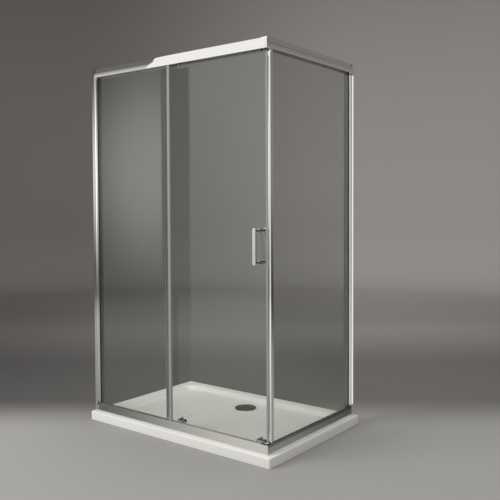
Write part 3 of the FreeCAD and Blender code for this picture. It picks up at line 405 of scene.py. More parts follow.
def prism(first, second):
    """A bar between two like outlines in space, closed by flat ends."""
    points = np.stack([first, second])
    return points.reshape(-1, 3), bands(2, len(first)) + lids(2, len(first))


def mitred_rail(line, total, outline, level):
    """A section (depth, z) in millimetres carried from the rail's cut end to its mitre: each point stops as
    far from the corner as it lies deep, and never nearer than the corner cap's radius."""
    section = outline * MM
    depth, z = section[:, 0], section[:, 1] + level
    end = total - saw_gap - np.maximum(corner_radius, depth)
    return prism(line(rail_start, depth, z), line(end, depth, z))


head_front = np.vstack([
    arc((2.0, 0.0), (0.0, 15.0), (2.0, 30.0), 17),
    [(4.0, 30.0)],
    arc((4.4, 44.0), (5.8, 47.6), (9.4, 49.0), 7),
])
head_outline = np.vstack([
    head_front,
    arc((42.0, 49.0), (45.6, 47.6), (47.0, 44.0), 7),
    [(47.0, 0.0), (45.2, 0.0), (45.2, 14.0), (39.1, 14.0), (39.1, 16.0), (40.8, 16.0), (40.8, 17.3),
     (42.8, 17.3), (42.8, 16.0), (45.2, 16.0), (45.2, 47.2), (20.2, 47.2), (20.2, 10.0), (18.4, 10.0),
     (18.4, 47.2), (8.6, 47.2), (6.2, 44.8), (6.0, 31.8), (3.8, 28.2)],
    arc((1.9, 15.0), (2.2, 9.0), (3.6, 3.6), 6),
    [(7.6, 3.6), (7.6, 0.0)],
])
sill_front = arc((0.0, 0.0), (2.3, 20.8), (7.0, 41.6), 17)
sill_outline = np.vstack([
    sill_front,
    [(7.6, 41.6), (7.6, 20.0), (18.4, 20.0), (18.4, 41.6), (24.0, 41.6), (24.0, 3.0), (40.8, 3.0),
     (40.8, 14.0), (42.8, 14.0), (42.8, 3.0), (45.2, 3.0), (45.2, 12.0), (47.0, 12.0), (47.0, 0.0)],
])
rail_colour = (0.86, 0.855, 0.845)
drawn_along_x = bright_metal("bright_aluminium_front", rail_colour, 0.05, (0.02, 6, 6), 0.05)
drawn_along_y = bright_metal("bright_aluminium_side", rail_colour, 0.05, (6, 0.02, 6), 0.05)
drawn_along_z = bright_metal("bright_aluminium_upright", rail_colour, 0.05, (6, 6, 0.02), 0.05)
# The head rail's inner faces (groove and track) are left unpolished. Their pale, non-metallic colour is
# painted light that brightens the inside of the rail where its own walls shade it.
painted_light_rail_inside = bright_metal("unpolished_head_inside_painted_light", (0.88, 0.87, 0.85), 0.45, (6, 6, 6), 0.08)
painted_light_rail_inside.node_tree.nodes["Principled BSDF"].inputs["Metallic"].default_value = 0.0
head_section = eased(head_outline)
head_middles = (head_section + np.roll(head_section, -1, 0)) / 2
inner_depth = (6.1, 45.5)
inner_height = 47.4
head_painted_light_faces = (head_middles[:, 0] > inner_depth[0]) & (head_middles[:, 0] < inner_depth[1])
head_painted_light_faces &= head_middles[:, 1] < inner_height

for side, line, total, metal in (("front", front_line, front_run, drawn_along_x),
                                 ("side", side_line, side_run, drawn_along_y)):
    points, faces = mitred_rail(line, total, head_section, head_level)
    head = piece(side + "_head_extrusion", points, faces, "enclosure", metal)
    head.data.materials.append(painted_light_rail_inside)
    head.data.polygons.foreach_set("material_index", np.append(head_painted_light_faces, [0, 0]).astype(int))
    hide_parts(side + "_head_rail")
    points, faces = mitred_rail(line, total, eased(sill_outline), rim_level)
    sill = piece(side + "_sill_extrusion", points, faces, "enclosure", metal)
    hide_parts(side + "_sill")

# ---- corner caps --------------------------------------------------------------------------------
# Two zinc castings, chromed, turn the rails' contours round the open corner with a tight radius.
# Arms behind them plug into the rails, so that the corner is pulled together without a visible screw.

cap_colour = (0.80, 0.795, 0.785)
cap_metal = bright_metal("chromed_corner_cap", cap_colour, 0.08, (1, 1, 1), 0.03)
cap_round = 0.005
cap_sharpest = 0.0003
cap_joint = 0.0007
cap_backset = 0.3


def corner_turn(contour, level, height):
    """The rail's contour (depth, z) led straight, round the corner and straight again. Each point's turn has
    the cap's radius less its own depth, and the end at the side rail is chamfered for a fine joint."""
    reach = corner_radius / MM
    back = reach - cap_backset
    outline = np.vstack([contour, [(back, height), (back, 0.0)]]) * MM
    depth, z = outline[:, 0], outline[:, 1] + level
    radius = np.maximum(cap_round - depth, cap_sharpest)
    turn = np.linspace(-math.pi / 2, 0, 9)[:, None]
    round_x = side_face - depth - radius + radius * np.cos(turn)
    round_y = front_face + depth + radius + radius * np.sin(turn)
    far_x = side_face - corner_radius
    far_y = front_face + corner_radius
    same = np.ones_like(depth)
    x = np.vstack([far_x * same, round_x, side_face - depth, side_face - depth - cap_joint])
    y = np.vstack([front_face + depth, round_y, (far_y - cap_joint) * same, far_y * same])
    points = np.stack([x, y, np.broadcast_to(z, x.shape)], -1)
    return points.reshape(-1, 3), bands(len(x), len(outline)) + lids(len(x), len(outline))


for place, contour, level in (("top", head_front, head_level), ("bottom", sill_front, rim_level)):
    points, faces = corner_turn(contour, level, contour[-1, 1])
    cap = piece(place + "_corner_casting", points, faces, "enclosure", cap_metal)
    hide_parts(place + "_corner_cap")

# ---- fixing channels and jambs ------------------------------------------------------------------
# A U channel is screwed up at the left end and at the back. A hollow jamb slides in it to take up
# what is out of plumb, is locked by three screws on the inner side, and grips the fixed pane.

jamb_low = sill_top + saw_gap
jamb_high = head_level - saw_gap
channel_outline = eased([(0.0, 2.0), (18.0, 2.0), (18.0, 3.8), (1.8, 3.8), (1.8, 43.2), (18.0, 43.2),
                         (18.0, 45.0), (0.0, 45.0)], 0.4)
jamb_outline = eased(np.vstack([
    arc((7.0, 5.0), (16.0, 4.1), (25.0, 5.4), 13),
    [(25.0, 5.9), (35.0, 5.9), (35.0, 7.6), (21.0, 7.6), (21.0, 18.4), (35.0, 18.4), (35.0, 20.0)],
    arc((30.0, 41.0), (29.3, 42.4), (28.0, 42.9), 6), [(7.0, 42.9)],
]), 0.3)
# The jamb's faces deeper than jamb_inner_from, behind the glass, get a dark, dull, non-metallic copy of its
# aluminium: painted shade.
jamb_inner_from = 18.3
jamb_painted_shade_faces = jamb_outline[:, 1] > jamb_inner_from
painted_shade_jamb_inside = bright_metal("jamb_inside_painted_shade", (0.13, 0.129, 0.126), 0.5, (6, 6, 0.02), 0.06)
painted_shade_jamb_inside.node_tree.nodes["Principled BSDF"].inputs["Metallic"].default_value = 0.0


def upright(line, outline, low, high):
    """A section (run, depth) in millimetres carried straight up."""
    run, depth = (outline * MM).T
    return prism(line(run, depth, low), line(run, depth, high))


for side, line in (("left", front_line), ("back", side_line)):
    points, faces = upright(line, channel_outline, rim_level, head_top)
    channel = piece(side + "_fixing_channel", points, faces, "enclosure", drawn_along_z)
    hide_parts(side + "_wall_channel")
    points, faces = upright(line, jamb_outline, jamb_low, jamb_high)
    jamb = piece(side + "_sliding_jamb", points, faces, "enclosure", drawn_along_z)
    jamb.data.materials.append(painted_shade_jamb_inside)
    jamb.data.polygons.foreach_set("material_index", np.append(jamb_painted_shade_faces, [0, 0]).astype(int))
    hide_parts(side + "_jamb")

steel = bright_metal("stainless_steel", (0.60, 0.59, 0.575), 0.22, (1, 1, 1), 0.08)
dress(["jamb_screw_caps"], chrome)
dress(["jamb_screws"], steel)

# ---- corner post --------------------------------------------------------------------------------
# A hollow aluminium upright at the open corner, bevelled towards the door. It grips the side pane
# and carries the magnetic strip that the door closes on.

post_run = front_run / MM
post_outline = eased(np.vstack([
    [(-18.0, 30.1), (-10.5, 27.6)], arc((-3.4, 27.6), (-2.41, 28.01), (-2.0, 29.0), 6),
    [(-2.0, 46.0), (-9.7, 46.0), (-9.7, 38.0), (-16.3, 38.0), (-16.3, 46.0), (-18.0, 46.0),
     (-18.0, 37.0), (-15.0, 37.0), (-15.0, 31.0), (-18.0, 31.0)],
]), 0.25) + (post_run, 0.0)
points, faces = upright(front_line, post_outline, jamb_low, jamb_high)
post = piece("bevelled_post", points, faces, "enclosure", drawn_along_z)
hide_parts("corner_post")


def moulded(name, colour, roughness, grain=500.0):
    """Moulded plastic: even colour with slight flow marks and a fine satin grain."""
    material, tree, shader, place = node_tree(name)
    tone = spread(tree, place, 12.0, 2.0, 0.0, 1.0)
    dapple(tree, shader, tone, tuple(c * 0.88 for c in colour) + (1.0,), colour + (1.0,))
    gloss = spread(tree, place, 40.0, 3.0, roughness * 0.8, roughness * 1.2)
    tree.links.new(gloss, shader.inputs["Roughness"])
    bump(tree, shader, spread(tree, place, grain, 2.0, 0.0, 1.0), 0.08, 0.0003)
    return material


magnet_rubber = moulded("magnetic_rubber", (0.30, 0.31, 0.33), 0.5)
dress(["post_magnet_strip"], magnet_rubber)
dark_plastic = moulded("dark_moulding", (0.035, 0.035, 0.036), 0.38)
dress(["rail_end_blocks", "setting_blocks", "hanger_bushes"], dark_plastic)

# ---- fixed glass --------------------------------------------------------------------------------
# Two panes of 6 mm toughened float glass with a slight grey-green tint stand on setting blocks in
# the sills, held by grey wedge gaskets. A soft-edged strip covers the front pane's free edge.

glass_tint_deep = (0.856, 0.866, 0.846, 1.0)
glass_tint_pale = (0.865, 0.874, 0.855, 1.0)
glass_mirror = 0.042


def float_glass():
    """Toughened float glass: each face lets its tint through and mirrors more the flatter it is seen, as the
    fifth power of one less the cosine. The tint varies a little, as do the furnace's shallow waves."""
    material, tree, shader, place = node_tree("float_glass")
    shader.inputs["Metallic"].default_value = 1.0
    shader.inputs["Roughness"].default_value = 0.0
    shader.inputs["Base Color"].default_value = (1.0, 1.0, 1.0, 1.0)
    bump(tree, shader, spread(tree, place, 1.6, 0.0, 0.0, 1.0, (1, 1, 3)), 0.02, 0.004)
    tint = tree.nodes.new("ShaderNodeMix")
    tint.data_type = "RGBA"
    tint.inputs["A"].default_value = glass_tint_deep
    tint.inputs["B"].default_value = glass_tint_pale
    tree.links.new(spread(tree, place, 2.0, 1.0, 0.0, 1.0), tint.inputs["Factor"])
    clear = tree.nodes.new("ShaderNodeBsdfTransparent")
    tree.links.new(tint.outputs["Result"], clear.inputs["Color"])
    facing = tree.nodes.new("ShaderNodeLayerWeight")
    facing.inputs["Blend"].default_value = 0.5
    fifth = tree.nodes.new("ShaderNodeMath")
    fifth.operation = "POWER"
    fifth.inputs[1].default_value = 5.0
    tree.links.new(facing.outputs["Facing"], fifth.inputs[0])
    mirror = tree.nodes.new("ShaderNodeMapRange")
    mirror.inputs["To Min"].default_value = glass_mirror
    tree.links.new(fifth.outputs["Value"], mirror.inputs["Value"])
    both = tree.nodes.new("ShaderNodeMixShader")
    tree.links.new(mirror.outputs["Result"], both.inputs["Fac"])
    tree.links.new(clear.outputs["BSDF"], both.inputs[1])
    tree.links.new(shader.outputs["BSDF"], both.inputs[2])
    tree.links.new(both.outputs["Shader"], tree.nodes["Material Output"].inputs["Surface"])
    return material


glass = float_glass()
panes = ["fixed_glass", "side_glass", "door_glass"]
dress(panes, glass)
gasket_rubber = dark_rubber("grey_gasket", (0.16, 0.16, 0.157), 0.55)
dress(["glass_gaskets"], gasket_rubber)


def soft_strip(name, colour):
    """Extruded flexible plastic, pearly grey: faint streaks along its length and a waxy gloss."""
    material, tree, shader, place = node_tree(name)
    shader.inputs["Subsurface Weight"].default_value = 0.25
    shader.inputs["Subsurface Radius"].default_value = (0.004, 0.004, 0.004)
    streak = spread(tree, place, 60.0, 2.0, 0.0, 1.0, (5, 5, 0.01))
    dapple(tree, shader, streak, tuple(c * 0.95 for c in colour) + (1.0,), colour + (1.0,))
    tree.links.new(spread(tree, place, 20.0, 3.0, 0.22, 0.28), shader.inputs["Roughness"])
    bump(tree, shader, streak, 0.03, 0.0002)
    return material


strip_plastic = soft_strip("pearly_strip", (0.31, 0.315, 0.335))
stile_outline = eased(np.vstack([
    [(554.0, 7.4)],
    arc((565.0, 7.4), (569.1, 9.2), (570.0, 13.0), 9),
    arc((570.0, 13.0), (569.1, 16.8), (565.0, 18.6), 9)[1:],
    [(554.0, 18.6), (554.0, 16.15), (565.8, 16.15), (565.8, 9.85), (554.0, 9.85)],
]), 0.3)
points, faces = upright(front_line, stile_outline, jamb_low, jamb_high)
stile = piece("fixed_pane_edge_strip", points, faces, "enclosure", strip_plastic)
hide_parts("fixed_glass_stile")
dress(["groove_infills"], strip_plastic)

# ---- door glass and seals -----------------------------------------------------------------------
# The sliding pane is drilled for its hangers, handles and roller clamps. A finned seal clips on
# its trailing edge, and a magnetic seal on the edge that meets the corner post.

door_left = (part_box("door_glass")[0].x - tray_low.x) / MM
door_right = (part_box("door_glass")[1].x - tray_low.x) / MM
seal_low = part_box("trailing_seal")[0].z
seal_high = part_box("trailing_seal")[1].z
trailing_outline = eased(np.array([
    (-3.5, 29.6), (-1.5, 29.6), (-2.9, 16.4), (-1.7, 16.4), (0.5, 29.6), (7.5, 29.6), (7.5, 30.85),
    (-0.3, 30.85), (-0.3, 37.15), (7.5, 37.15), (7.5, 38.4), (-3.5, 38.4),
]) + (door_left, 0.0), 0.25)
magnetic_outline = eased(np.vstack([
    [(-6.0, 29.6)],
    arc((5.2, 29.6), (6.05, 29.95), (6.4, 30.8), 5),
    arc((6.4, 37.2), (6.05, 38.05), (5.2, 38.4), 5),
    [(-6.0, 38.4), (-6.0, 37.15), (0.3, 37.15), (0.3, 30.85), (-6.0, 30.85)],
]) + (door_right, 0.0), 0.25)
pale_plastic = soft_strip("pale_seal", (0.66, 0.665, 0.67))
for name, node, outline, plastic in (
        ("finned_trailing_seal", "trailing_seal", trailing_outline, pale_plastic),
        ("magnetic_edge_seal", "magnetic_seal", magnetic_outline, strip_plastic)):
    points, faces = upright(front_line, outline, seal_low, seal_high)
    seal = piece(name, points, faces, "door", plastic)
    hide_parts(node)

# ---- handles ------------------------------------------------------------------------------------
# Two flat chromed bars with round ends, one on each side of the pane, bolted to each other through
# the glass. Each stands on two turned posts with a wider foot over a soft washer. The posts and the
# bar's back are satin.

bar_low, bar_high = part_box("outer_handle")
bar_middle = (bar_low.x + bar_high.x) / 2
bar_level = (bar_low.z + bar_high.z) / 2
bar_half_width = (bar_high.x - bar_low.x) / 2
bar_half_length = (bar_high.z - bar_low.z) / 2
bar_thickness = 0.008
bar_fillet = 0.0022
bar_crown = 0.00015
flat_share = 0.92
post_spacing = 0.145
post_radius = 0.0065
post_sunk = 0.001
foot_radius = 0.009
foot_height = 0.004


def stadium(inset, y, turn_steps=28):
    """A stadium outline at depth y: two half circles whose radius is the bar's half width less inset, joined
    by straights."""
    half = np.linspace(0, math.pi, turn_steps)
    turn = np.concatenate([half, half + math.pi])
    shift = np.repeat([1.0, -1.0], turn_steps) * (bar_half_length - bar_half_width)
    x = bar_middle + (bar_half_width - inset) * np.cos(turn)
    z = bar_level + shift + (bar_half_width - inset) * np.sin(turn)
    return np.stack([x, np.full_like(turn, y), z], -1)


def flat_bar(back, outward):
    """Rings from the bar's back to its crowned front: the edges are quarter rounds, and the face rises as a
    shallow parabola towards its middle line."""
    turn = np.linspace(0, math.pi / 2, 7)
    sunk = bar_fillet * (1 - np.sin(turn))
    drawn_in = bar_fillet * (1 - np.cos(turn))
    inward = np.linspace(bar_fillet, bar_half_width * flat_share, 8)[1:]
    share = (inward - bar_fillet) / (bar_half_width - bar_fillet)
    insets = np.concatenate([sunk, drawn_in, inward])
    crown = bar_crown * (1 - share) ** 2
    rises = np.concatenate([drawn_in, bar_thickness - bar_crown - sunk, bar_thickness - crown])
    rings = np.array([stadium(inset, back + outward * rise) for inset, rise in zip(insets, rises)])
    return rings.reshape(-1, 3), bands(len(rings), rings.shape[1]) + lids(len(rings), rings.shape[1])


for name, surface_y, outward, back_y in (
        ("outer_pull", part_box("outer_handle")[1].y, -1.0, bar_low.y + bar_thickness),
        ("inner_pull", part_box("inner_handle")[0].y, 1.0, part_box("inner_handle")[1].y - bar_thickness)):
    reach = abs(back_y - surface_y) + post_sunk
    post_profile = [(foot_radius - 0.0008, 0.0), (foot_radius, 0.0005), (foot_radius, foot_height - 0.0012),
                    (foot_radius - 0.0004, foot_height - 0.0003), (foot_radius - 0.0012, foot_height),
                    (post_radius + 0.0004, foot_height + 0.0002), (post_radius, foot_height + 0.0008),
                    (post_radius, reach)]
    shells = [flat_bar(back_y, outward)]
    bar_faces = len(shells[0][1])
    bar_back = bar_faces - 2
    for side in (-1, 1):
        centre = (bar_middle, surface_y, bar_level + side * post_spacing / 2)
        shells.append(turned(post_profile, centre, (0.0, outward, 0.0), 40))
    points, faces = joined(shells)
    pull = piece(name, points, faces, "door", chrome, 35)
    pull.data.materials.append(steel)
    satin = np.arange(len(faces)) >= bar_faces
    satin[bar_back] = True
    pull.data.polygons.foreach_set("material_index", satin.astype(int))
    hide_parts(name.replace("pull", "handle"))

dress(["handle_bolts"], steel)
dress(["handle_washers"], strip_plastic)

# ---- top hangers --------------------------------------------------------------------------------
# Two pressed steel plates hang from the track on four small ball-bearing wheels. Each carries the
# pane on one stud, whose chromed cap nut shows under the head rail.

roller_plastic = moulded("acetal_wheel", (0.055, 0.055, 0.057), 0.30)
dress(["hanger_left", "hanger_right", "top_axles"], steel)
dress(["hanger_cap_nuts"], cap_metal)
dress(["top_bearing_%d" % k for k in (1, 2, 3, 4)], steel)
dress(["top_wheel_%d" % k for k in (1, 2, 3, 4)], roller_plastic)

# ---- bottom rollers -----------------------------------------------------------------------------
# Each unit clamps on the pane's foot: a dark moulded housing inside, a chromed plate outside, and
# a sprung carriage with two wheels that lifts to free the door's foot for cleaning.

dress(["roller_housing_left", "roller_housing_right"], dark_plastic)
dress(["roller_carriage_left", "roller_carriage_right"], steel)
dress(["roller_clamp_plates"], chrome)
dress(["roller_clamp_screws"], steel)
dress(["bottom_wheel_%d" % k for k in (1, 2, 3, 4)], roller_plastic)

spring_wire = 0.00035
spring_turns = 5
turn_steps = 28
wire_sides = 10


def wire_coil(low, high):
    """A round wire on a helix that fills a box: its middle line turns round the box's upright axis and climbs
    evenly, and each of its rings is a small circle square to that line."""
    centre = [(low.x + high.x) / 2, (low.y + high.y) / 2, low.z + spring_wire]
    radius = (high.x - low.x) / 2 - spring_wire
    turn = np.linspace(0, 2 * math.pi * spring_turns, turn_steps * spring_turns + 1)
    climb = (high.z - low.z - 2 * spring_wire) / turn[-1]
    outward = np.stack([np.cos(turn), np.sin(turn), 0 * turn], -1)
    middle = centre + radius * outward + climb * turn[:, None] * (0, 0, 1)
    onward = np.stack([-radius * np.sin(turn), radius * np.cos(turn), climb + 0 * turn], -1)
    across = np.cross(onward / np.linalg.norm(onward, axis=1)[:, None], outward)
    ring = np.linspace(0, 2 * math.pi, wire_sides, endpoint=False)[None, :, None]
    spoke = np.cos(ring) * outward[:, None] + np.sin(ring) * across[:, None]
    points = middle[:, None] + spring_wire * spoke
    return points.reshape(-1, 3), bands(len(turn), wire_sides) + lids(len(turn), wire_sides)


for side in ("left", "right"):
    coil_low, coil_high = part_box("release_spring_" + side)
    points, faces = wire_coil(coil_low, coil_high)
    coil = piece(side + "_release_coil", points, faces, "door", steel, 60)
    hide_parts("release_spring_" + side)
    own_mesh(coil)

# ---- studio -------------------------------------------------------------------------------------
# A pale floor that sweeps up into a grey wall all round, a tall bright panel and a soft glow at the front
# left, and narrow cards close to the rails and uprights that only reflections show. The sweep's colour is
# painted light and shade: one tone in front of the enclosure, a painted shadow right behind it that lightens
# further back and up the wall, and painted shade towards the left. The light is a key at the front left, a
# soft one overhead and a weak one at the right.

sweep_radius = 6.8
sweep_bend = 0.8
sweep_height = 9.0
sweep_sunk = 0.0005
toward_view = (0.61, -0.79, 0.0)
across_view = (0.79, 0.61, 0.0)
upwards = (0.0, 0.0, 1.0)
sweep_reach = 8.0
# Painted light and shade on the sweep: a lit tone in front of the enclosure, a lighter tone up the wall, and
# behind the enclosure a painted shadow that lightens with distance; the left side is darkened as painted
# shade.
front_tone = (0.322, 0.313, 0.295, 1.0)
wall_tone = (0.58, 0.552, 0.532, 1.0)
painted_shadow_tone = (0.15, 0.143, 0.137, 1.0)
painted_falloff_tones = [(-6.0, (0.56, 0.533, 0.513, 1.0)), (-3.0, (0.33, 0.314, 0.302, 1.0)),
              (-1.2, painted_shadow_tone), (8.0, painted_shadow_tone)]
front_from = -0.45
front_to = 0.15
left_shade = 0.46
shade_from = -2.5
shade_to = 2.0
wall_from = 0.0
wall_to = 1.6

floor_edge = sweep_radius - sweep_bend
bend_turn = np.linspace(-math.pi / 2, 0, 12)
bend_out = floor_edge + sweep_bend * np.cos(bend_turn)
bend_up = sweep_bend + sweep_bend * np.sin(bend_turn)
sweep_profile = np.concatenate([
    np.column_stack([np.linspace(0.02, floor_edge, 10)[:-1], np.zeros(9)]),
    np.column_stack([bend_out, bend_up]),
    [(sweep_radius, sweep_height)],
])
points, faces = turned(sweep_profile, (0.0, 0.0, -sweep_sunk), upwards, 96)
sweep_painted_shade_material, tree, shader, place = node_tree("studio_sweep_painted_shade")


def ranged(tree, value, low, high, bottom, top):
    """A value brought smoothly from low to high to bottom to top, and held beyond them."""
    reach = tree.nodes.new("ShaderNodeMapRange")
    reach.interpolation_type = "SMOOTHSTEP"
    reach.inputs["From Min"].default_value = low
    reach.inputs["From Max"].default_value = high
    reach.inputs["To Min"].default_value = bottom
    reach.inputs["To Max"].default_value = top
    tree.links.new(value, reach.inputs["Value"])
    return reach.outputs["Result"]


def along(direction, low, high, bottom, top):
    """The place's part along a direction, and the same brought from low to high to bottom to top."""
    part = tree.nodes.new("ShaderNodeVectorMath")
    part.operation = "DOT_PRODUCT"
    part.inputs[1].default_value = direction
    tree.links.new(place, part.inputs[0])
    return part.outputs["Value"], ranged(tree, part.outputs["Value"], low, high, bottom, top)


# The sweep's colour is painted light and shade, built from where each point lies: ahead of or behind the
# enclosure, how far behind, how high and how far to the left.
nearness, in_front = along(toward_view, front_from, front_to, 0.0, 1.0)
share = tree.nodes.new("ShaderNodeMapRange")
share.inputs["From Min"].default_value = -sweep_reach
share.inputs["From Max"].default_value = sweep_reach
tree.links.new(nearness, share.inputs["Value"])
ramp = tree.nodes.new("ShaderNodeValToRGB")
ramp.color_ramp.interpolation = "EASE"
for stop in painted_falloff_tones[2:]:
    ramp.color_ramp.elements.new((stop[0] + sweep_reach) / (2 * sweep_reach))
for element, (distance, tone) in zip(ramp.color_ramp.elements, painted_falloff_tones):
    element.position = (distance + sweep_reach) / (2 * sweep_reach)
    element.color = tone
tree.links.new(share.outputs["Result"], ramp.inputs["Fac"])
wall = tree.nodes.new("ShaderNodeMix")
wall.data_type = "RGBA"
wall.inputs["B"].default_value = wall_tone
tree.links.new(along(upwards, wall_from, wall_to, 0.0, 1.0)[1], wall.inputs["Factor"])
tree.links.new(ramp.outputs["Color"], wall.inputs["A"])
shade = tree.nodes.new("ShaderNodeVectorMath")
shade.operation = "SCALE"
tree.links.new(wall.outputs["Result"], shade.inputs["Vector"])
tree.links.new(along(across_view, shade_from, shade_to, left_shade, 1.0)[1], shade.inputs["Scale"])
ground = tree.nodes.new("ShaderNodeMix")
ground.data_type = "RGBA"
ground.inputs["B"].default_value = front_tone
tree.links.new(in_front, ground.inputs["Factor"])
tree.links.new(shade.outputs["Vector"], ground.inputs["A"])
tree.links.new(ground.outputs["Result"], shader.inputs["Base Color"])
shader.inputs["Roughness"].default_value = 0.85
shader.inputs["Specular IOR Level"].default_value = 0.2
mesh = bpy.data.meshes.new("studio_sweep_painted_shade")
mesh.from_pydata(points.tolist(), [], faces[:-1])
mesh.materials.append(sweep_painted_shade_material)
mesh.shade_smooth()
backdrop = bpy.data.objects.new("studio_sweep_painted_shade", mesh)
bpy.context.scene.collection.objects.link(backdrop)


def glowing_card(name, low, high, level, strength, clear=True, axis="Y", colour=(1.0, 1.0, 1.0, 1.0)):
    """An upright card in a plane across X or Y that is seen only in reflections, clear apart from its glow or
    opaque. strength is a function from the card's tree and its object coordinates to the socket that drives
    the glow."""
    mesh = bpy.data.meshes.new(name)
    spans = [(low[0], low[1]), (high[0], low[1]), (high[0], high[1]), (low[0], high[1])]
    corners = [(level, run, z) if axis == "X" else (run, level, z) for run, z in spans]
    mesh.from_pydata(corners, [], [(3, 2, 1, 0)])
    material = bpy.data.materials.new(name)
    material.use_nodes = True
    tree = material.node_tree
    place = tree.nodes.new("ShaderNodeTexCoord").outputs["Object"]
    glow = tree.nodes.new("ShaderNodeEmission")
    glow.inputs["Color"].default_value = colour
    tree.links.new(strength(tree, place), glow.inputs["Strength"])
    both = tree.nodes.new("ShaderNodeAddShader")
    tree.links.new(glow.outputs["Emission"], both.inputs[0])
    if clear:
        tree.links.new(tree.nodes.new("ShaderNodeBsdfTransparent").outputs["BSDF"], both.inputs[1])
    tree.links.new(both.outputs["Shader"], tree.nodes["Material Output"].inputs["Surface"])
    mesh.materials.append(material)
    card = bpy.data.objects.new(name, mesh)
    bpy.context.scene.collection.objects.link(card)
    card.visible_camera = False
    card.visible_diffuse = False
    card.visible_shadow = False


def coordinate(tree, place, letter):
    """The X, Y or Z of a place."""
    split = tree.nodes.new("ShaderNodeSeparateXYZ")
    tree.links.new(place, split.inputs["Vector"])
    return split.outputs[letter]


card_y = -1.0
panel_low = (-0.53, 0.01)
panel_high = (0.40, 2.9)
panel_none = -0.7
panel_full = 2.3
panel_radiance = 0.95


def fading_up(tree, place):
    """Nothing at panel_none and full from panel_full upwards."""
    return ranged(tree, coordinate(tree, place, "Z"), panel_none, panel_full, 0.0, panel_radiance)


glowing_card("tall_panel", panel_low, panel_high, card_y, fading_up, colour=(1.0, 0.985, 0.955, 1.0))

glow_middle = (-0.84, 1.40)
glow_reach = (0.85, 0.95)
glow_radiance = 1.75
glow_cut = -0.708
glow_ahead = 0.02
glow_low = (glow_middle[0] - glow_reach[0], glow_middle[1] - glow_reach[1])
glow_high = (glow_cut, glow_middle[1] + glow_reach[1])


def soft_spot(tree, place):
    """Full at glow_middle and nothing at an ellipse of the size glow_reach round it."""
    shift = tree.nodes.new("ShaderNodeMapping")
    shift.vector_type = "TEXTURE"
    shift.inputs["Location"].default_value = (glow_middle[0], card_y, glow_middle[1])
    shift.inputs["Scale"].default_value = (glow_reach[0], 1.0, glow_reach[1])
    tree.links.new(place, shift.inputs["Vector"])
    away = tree.nodes.new("ShaderNodeVectorMath")
    away.operation = "LENGTH"
    tree.links.new(shift.outputs["Vector"], away.inputs[0])
    fall = tree.nodes.new("ShaderNodeMapRange")
    fall.interpolation_type = "SMOOTHERSTEP"
    fall.inputs["From Min"].default_value = 0.0
    fall.inputs["From Max"].default_value = 1.0
    fall.inputs["To Min"].default_value = glow_radiance
    fall.inputs["To Max"].default_value = 0.0
    tree.links.new(away.outputs["Value"], fall.inputs["Value"])
    return fall.outputs["Result"]


glowing_card("soft_glow", glow_low, glow_high, card_y + glow_ahead, soft_spot)

card_gap = 0.015
back_card_gap = 0.020
near_front = front_face - card_gap
near_side = side_face + card_gap
near_back = side_face + back_card_gap
card_start = -0.594
strip_low = 1.841
strip_high = 2.0
strip_end = 0.60
strip_edge = -0.205
strip_blur = 0.006
strip_lean = 1.1
strip_dim_from = 0.008
strip_dim_to = 0.040
strip_foot = 0.62
strip_dim = 0.16
strip_radiance = 1.02


def strip_glow(tree, place):
    """Full to the right of a leaning edge. To its left there is a soft glow low down and dimness above."""
    lean = tree.nodes.new("ShaderNodeMath")
    lean.operation = "MULTIPLY_ADD"
    lean.inputs[1].default_value = -strip_lean
    tree.links.new(coordinate(tree, place, "Z"), lean.inputs[0])
    tree.links.new(coordinate(tree, place, "X"), lean.inputs[2])
    edge = strip_edge - strip_lean * strip_low
    side = ranged(tree, lean.outputs["Value"], edge - strip_blur, edge + strip_blur, 0.0, 1.0)
    dim = ranged(tree, coordinate(tree, place, "Z"), strip_low + strip_dim_from, strip_low + strip_dim_to,
                 strip_foot, strip_dim)
    mix = tree.nodes.new("ShaderNodeMix")
    mix.inputs["B"].default_value = strip_radiance
    tree.links.new(side, mix.inputs["Factor"])
    tree.links.new(dim, mix.inputs["A"])
    return mix.outputs["Result"]


glowing_card("head_strip", (card_start, strip_low), (strip_end, strip_high), near_front, strip_glow,
             clear=False, colour=(1.0, 0.985, 0.96, 1.0))

sill_card_low = 0.0457
sill_card_high = 0.090
sill_glow_x = (-0.65, 0.55)
sill_glow = (0.14, 0.62)


def rising_right(tree, place):
    """From dim at the left end to bright at the right."""
    return ranged(tree, coordinate(tree, place, "X"), *sill_glow_x, *sill_glow)


glowing_card("sill_strip", (card_start, sill_card_low), (0.585, sill_card_high), near_front, rising_right,
             clear=False, colour=(1.0, 0.975, 0.91, 1.0))

post_radiance = 1.0


def even_glow(tree, place):
    """The same glow wherever the place."""
    value = tree.nodes.new("ShaderNodeValue")
    value.outputs["Value"].default_value = post_radiance
    return value.outputs["Value"]


glowing_card("post_strip", (0.526, 0.092), (0.5415, 1.836), near_front, even_glow, clear=False)

back_glow_y = (0.418, 0.424)
back_glow = (0.72, 0.98)


def brighter_behind(tree, place):
    """Full at the back edge and weaker in front."""
    return ranged(tree, coordinate(tree, place, "Y"), *back_glow_y, *back_glow)


glowing_card("back_strip", (0.392, 0.087), (0.445, 1.842), near_back, brighter_behind, clear=False, axis="X",
             colour=(1.0, 0.985, 0.965, 1.0))

side_glow_y = (-0.37, 0.40)
side_glow = (0.24, 0.10)
side_fade_z = (0.068, 0.082)
side_fade = (1.0, 0.45)


def falling_back(tree, place):
    """Dim, falling towards the back, and dimmer still at the top."""
    product = tree.nodes.new("ShaderNodeMath")
    product.operation = "MULTIPLY"
    tree.links.new(ranged(tree, coordinate(tree, place, "Y"), *side_glow_y, *side_glow), product.inputs[0])
    tree.links.new(ranged(tree, coordinate(tree, place, "Z"), *side_fade_z, *side_fade), product.inputs[1])
    return product.outputs["Value"]


glowing_card("side_sill_strip", (-0.385, sill_card_low), (0.41, sill_card_high), near_side, falling_back,
             clear=False, axis="X", colour=(1.0, 0.97, 0.90, 1.0))


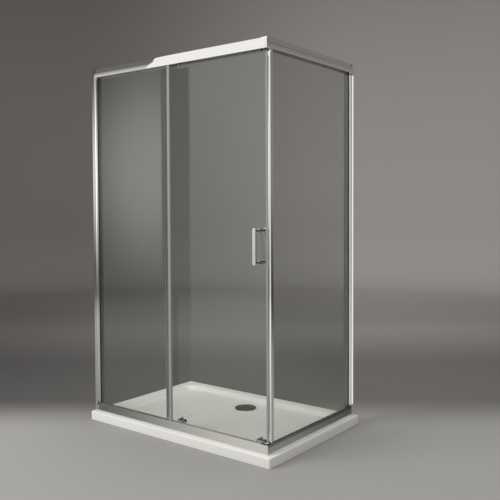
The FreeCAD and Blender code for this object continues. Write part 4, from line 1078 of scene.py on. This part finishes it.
def soft_light(name, place, aim, size, power, seen_in_gloss):
    """A rectangular area light of size (width, height) at place, facing aim."""
    data = bpy.data.lights.new(name, "AREA")
    data.shape = "RECTANGLE"
    data.size, data.size_y = size
    data.energy = power
    lamp = bpy.data.objects.new(name, data)
    bpy.context.scene.collection.objects.link(lamp)
    lamp.location = place
    toward = np.array(aim) - np.array(place)
    flat = math.hypot(toward[0], toward[1])
    lamp.rotation_euler = (math.atan2(flat, -toward[2]), 0.0, math.atan2(toward[1], toward[0]) - math.pi / 2)
    lamp.visible_camera = False
    lamp.visible_glossy = seen_in_gloss


soft_light("front_left_key", place=(-2.2, -4.3, 2.9), aim=(0.0, 0.0, 0.6), size=(2.6, 2.2), power=225.0,
           seen_in_gloss=False)
soft_light("overhead", place=(0.2, 0.2, 4.6), aim=(0.2, 0.2, 0.0), size=(3.2, 3.2), power=144.0,
           seen_in_gloss=True)
soft_light("right_fill", place=(4.4, -1.4, 2.0), aim=(0.0, 0.0, 0.8), size=(2.0, 2.4), power=40.0,
           seen_in_gloss=False)

world = bpy.data.worlds.new("studio_air")
world.use_nodes = True
world.node_tree.nodes["Background"].inputs["Color"].default_value = (1.0, 0.985, 0.97, 1.0)
world.node_tree.nodes["Background"].inputs["Strength"].default_value = 0.26
bpy.context.scene.world = world
bpy.context.scene.view_settings.view_transform = "Standard"

# ---- camera -------------------------------------------------------------------------------------
# The view is taken from chest height, three metres out from the open corner. It looks slightly
# down, and the lens is shifted down a little too.

camera_place = (2.35096, -2.81295, 1.15399)
yaw = 0.655539
pitch = 0.0352863
roll = -0.00412547
focal_pixels = 688.73
picture_pixels = 500.0
middle_row = 230.54

camera_data = bpy.data.cameras.new("view")
camera_data.sensor_width = 36.0
camera_data.lens = focal_pixels / picture_pixels * camera_data.sensor_width
camera_data.shift_y = (middle_row - picture_pixels / 2) / picture_pixels
camera_data.clip_end = 60.0
camera = bpy.data.objects.new("view", camera_data)
bpy.context.scene.collection.objects.link(camera)
camera.location = camera_place
ahead = np.array([-math.sin(yaw) * math.cos(pitch), math.cos(yaw) * math.cos(pitch), -math.sin(pitch)])
right = np.array([math.cos(yaw), math.sin(yaw), 0.0])
up = np.cross(right, ahead)
turned_right = right * math.cos(roll) + up * math.sin(roll)
turned_up = up * math.cos(roll) - right * math.sin(roll)
axes = np.stack([turned_right, turned_up, -ahead])
camera.rotation_mode = "QUATERNION"
camera.rotation_quaternion = Matrix(axes.T.tolist()).to_quaternion()
bpy.context.scene.camera = camera
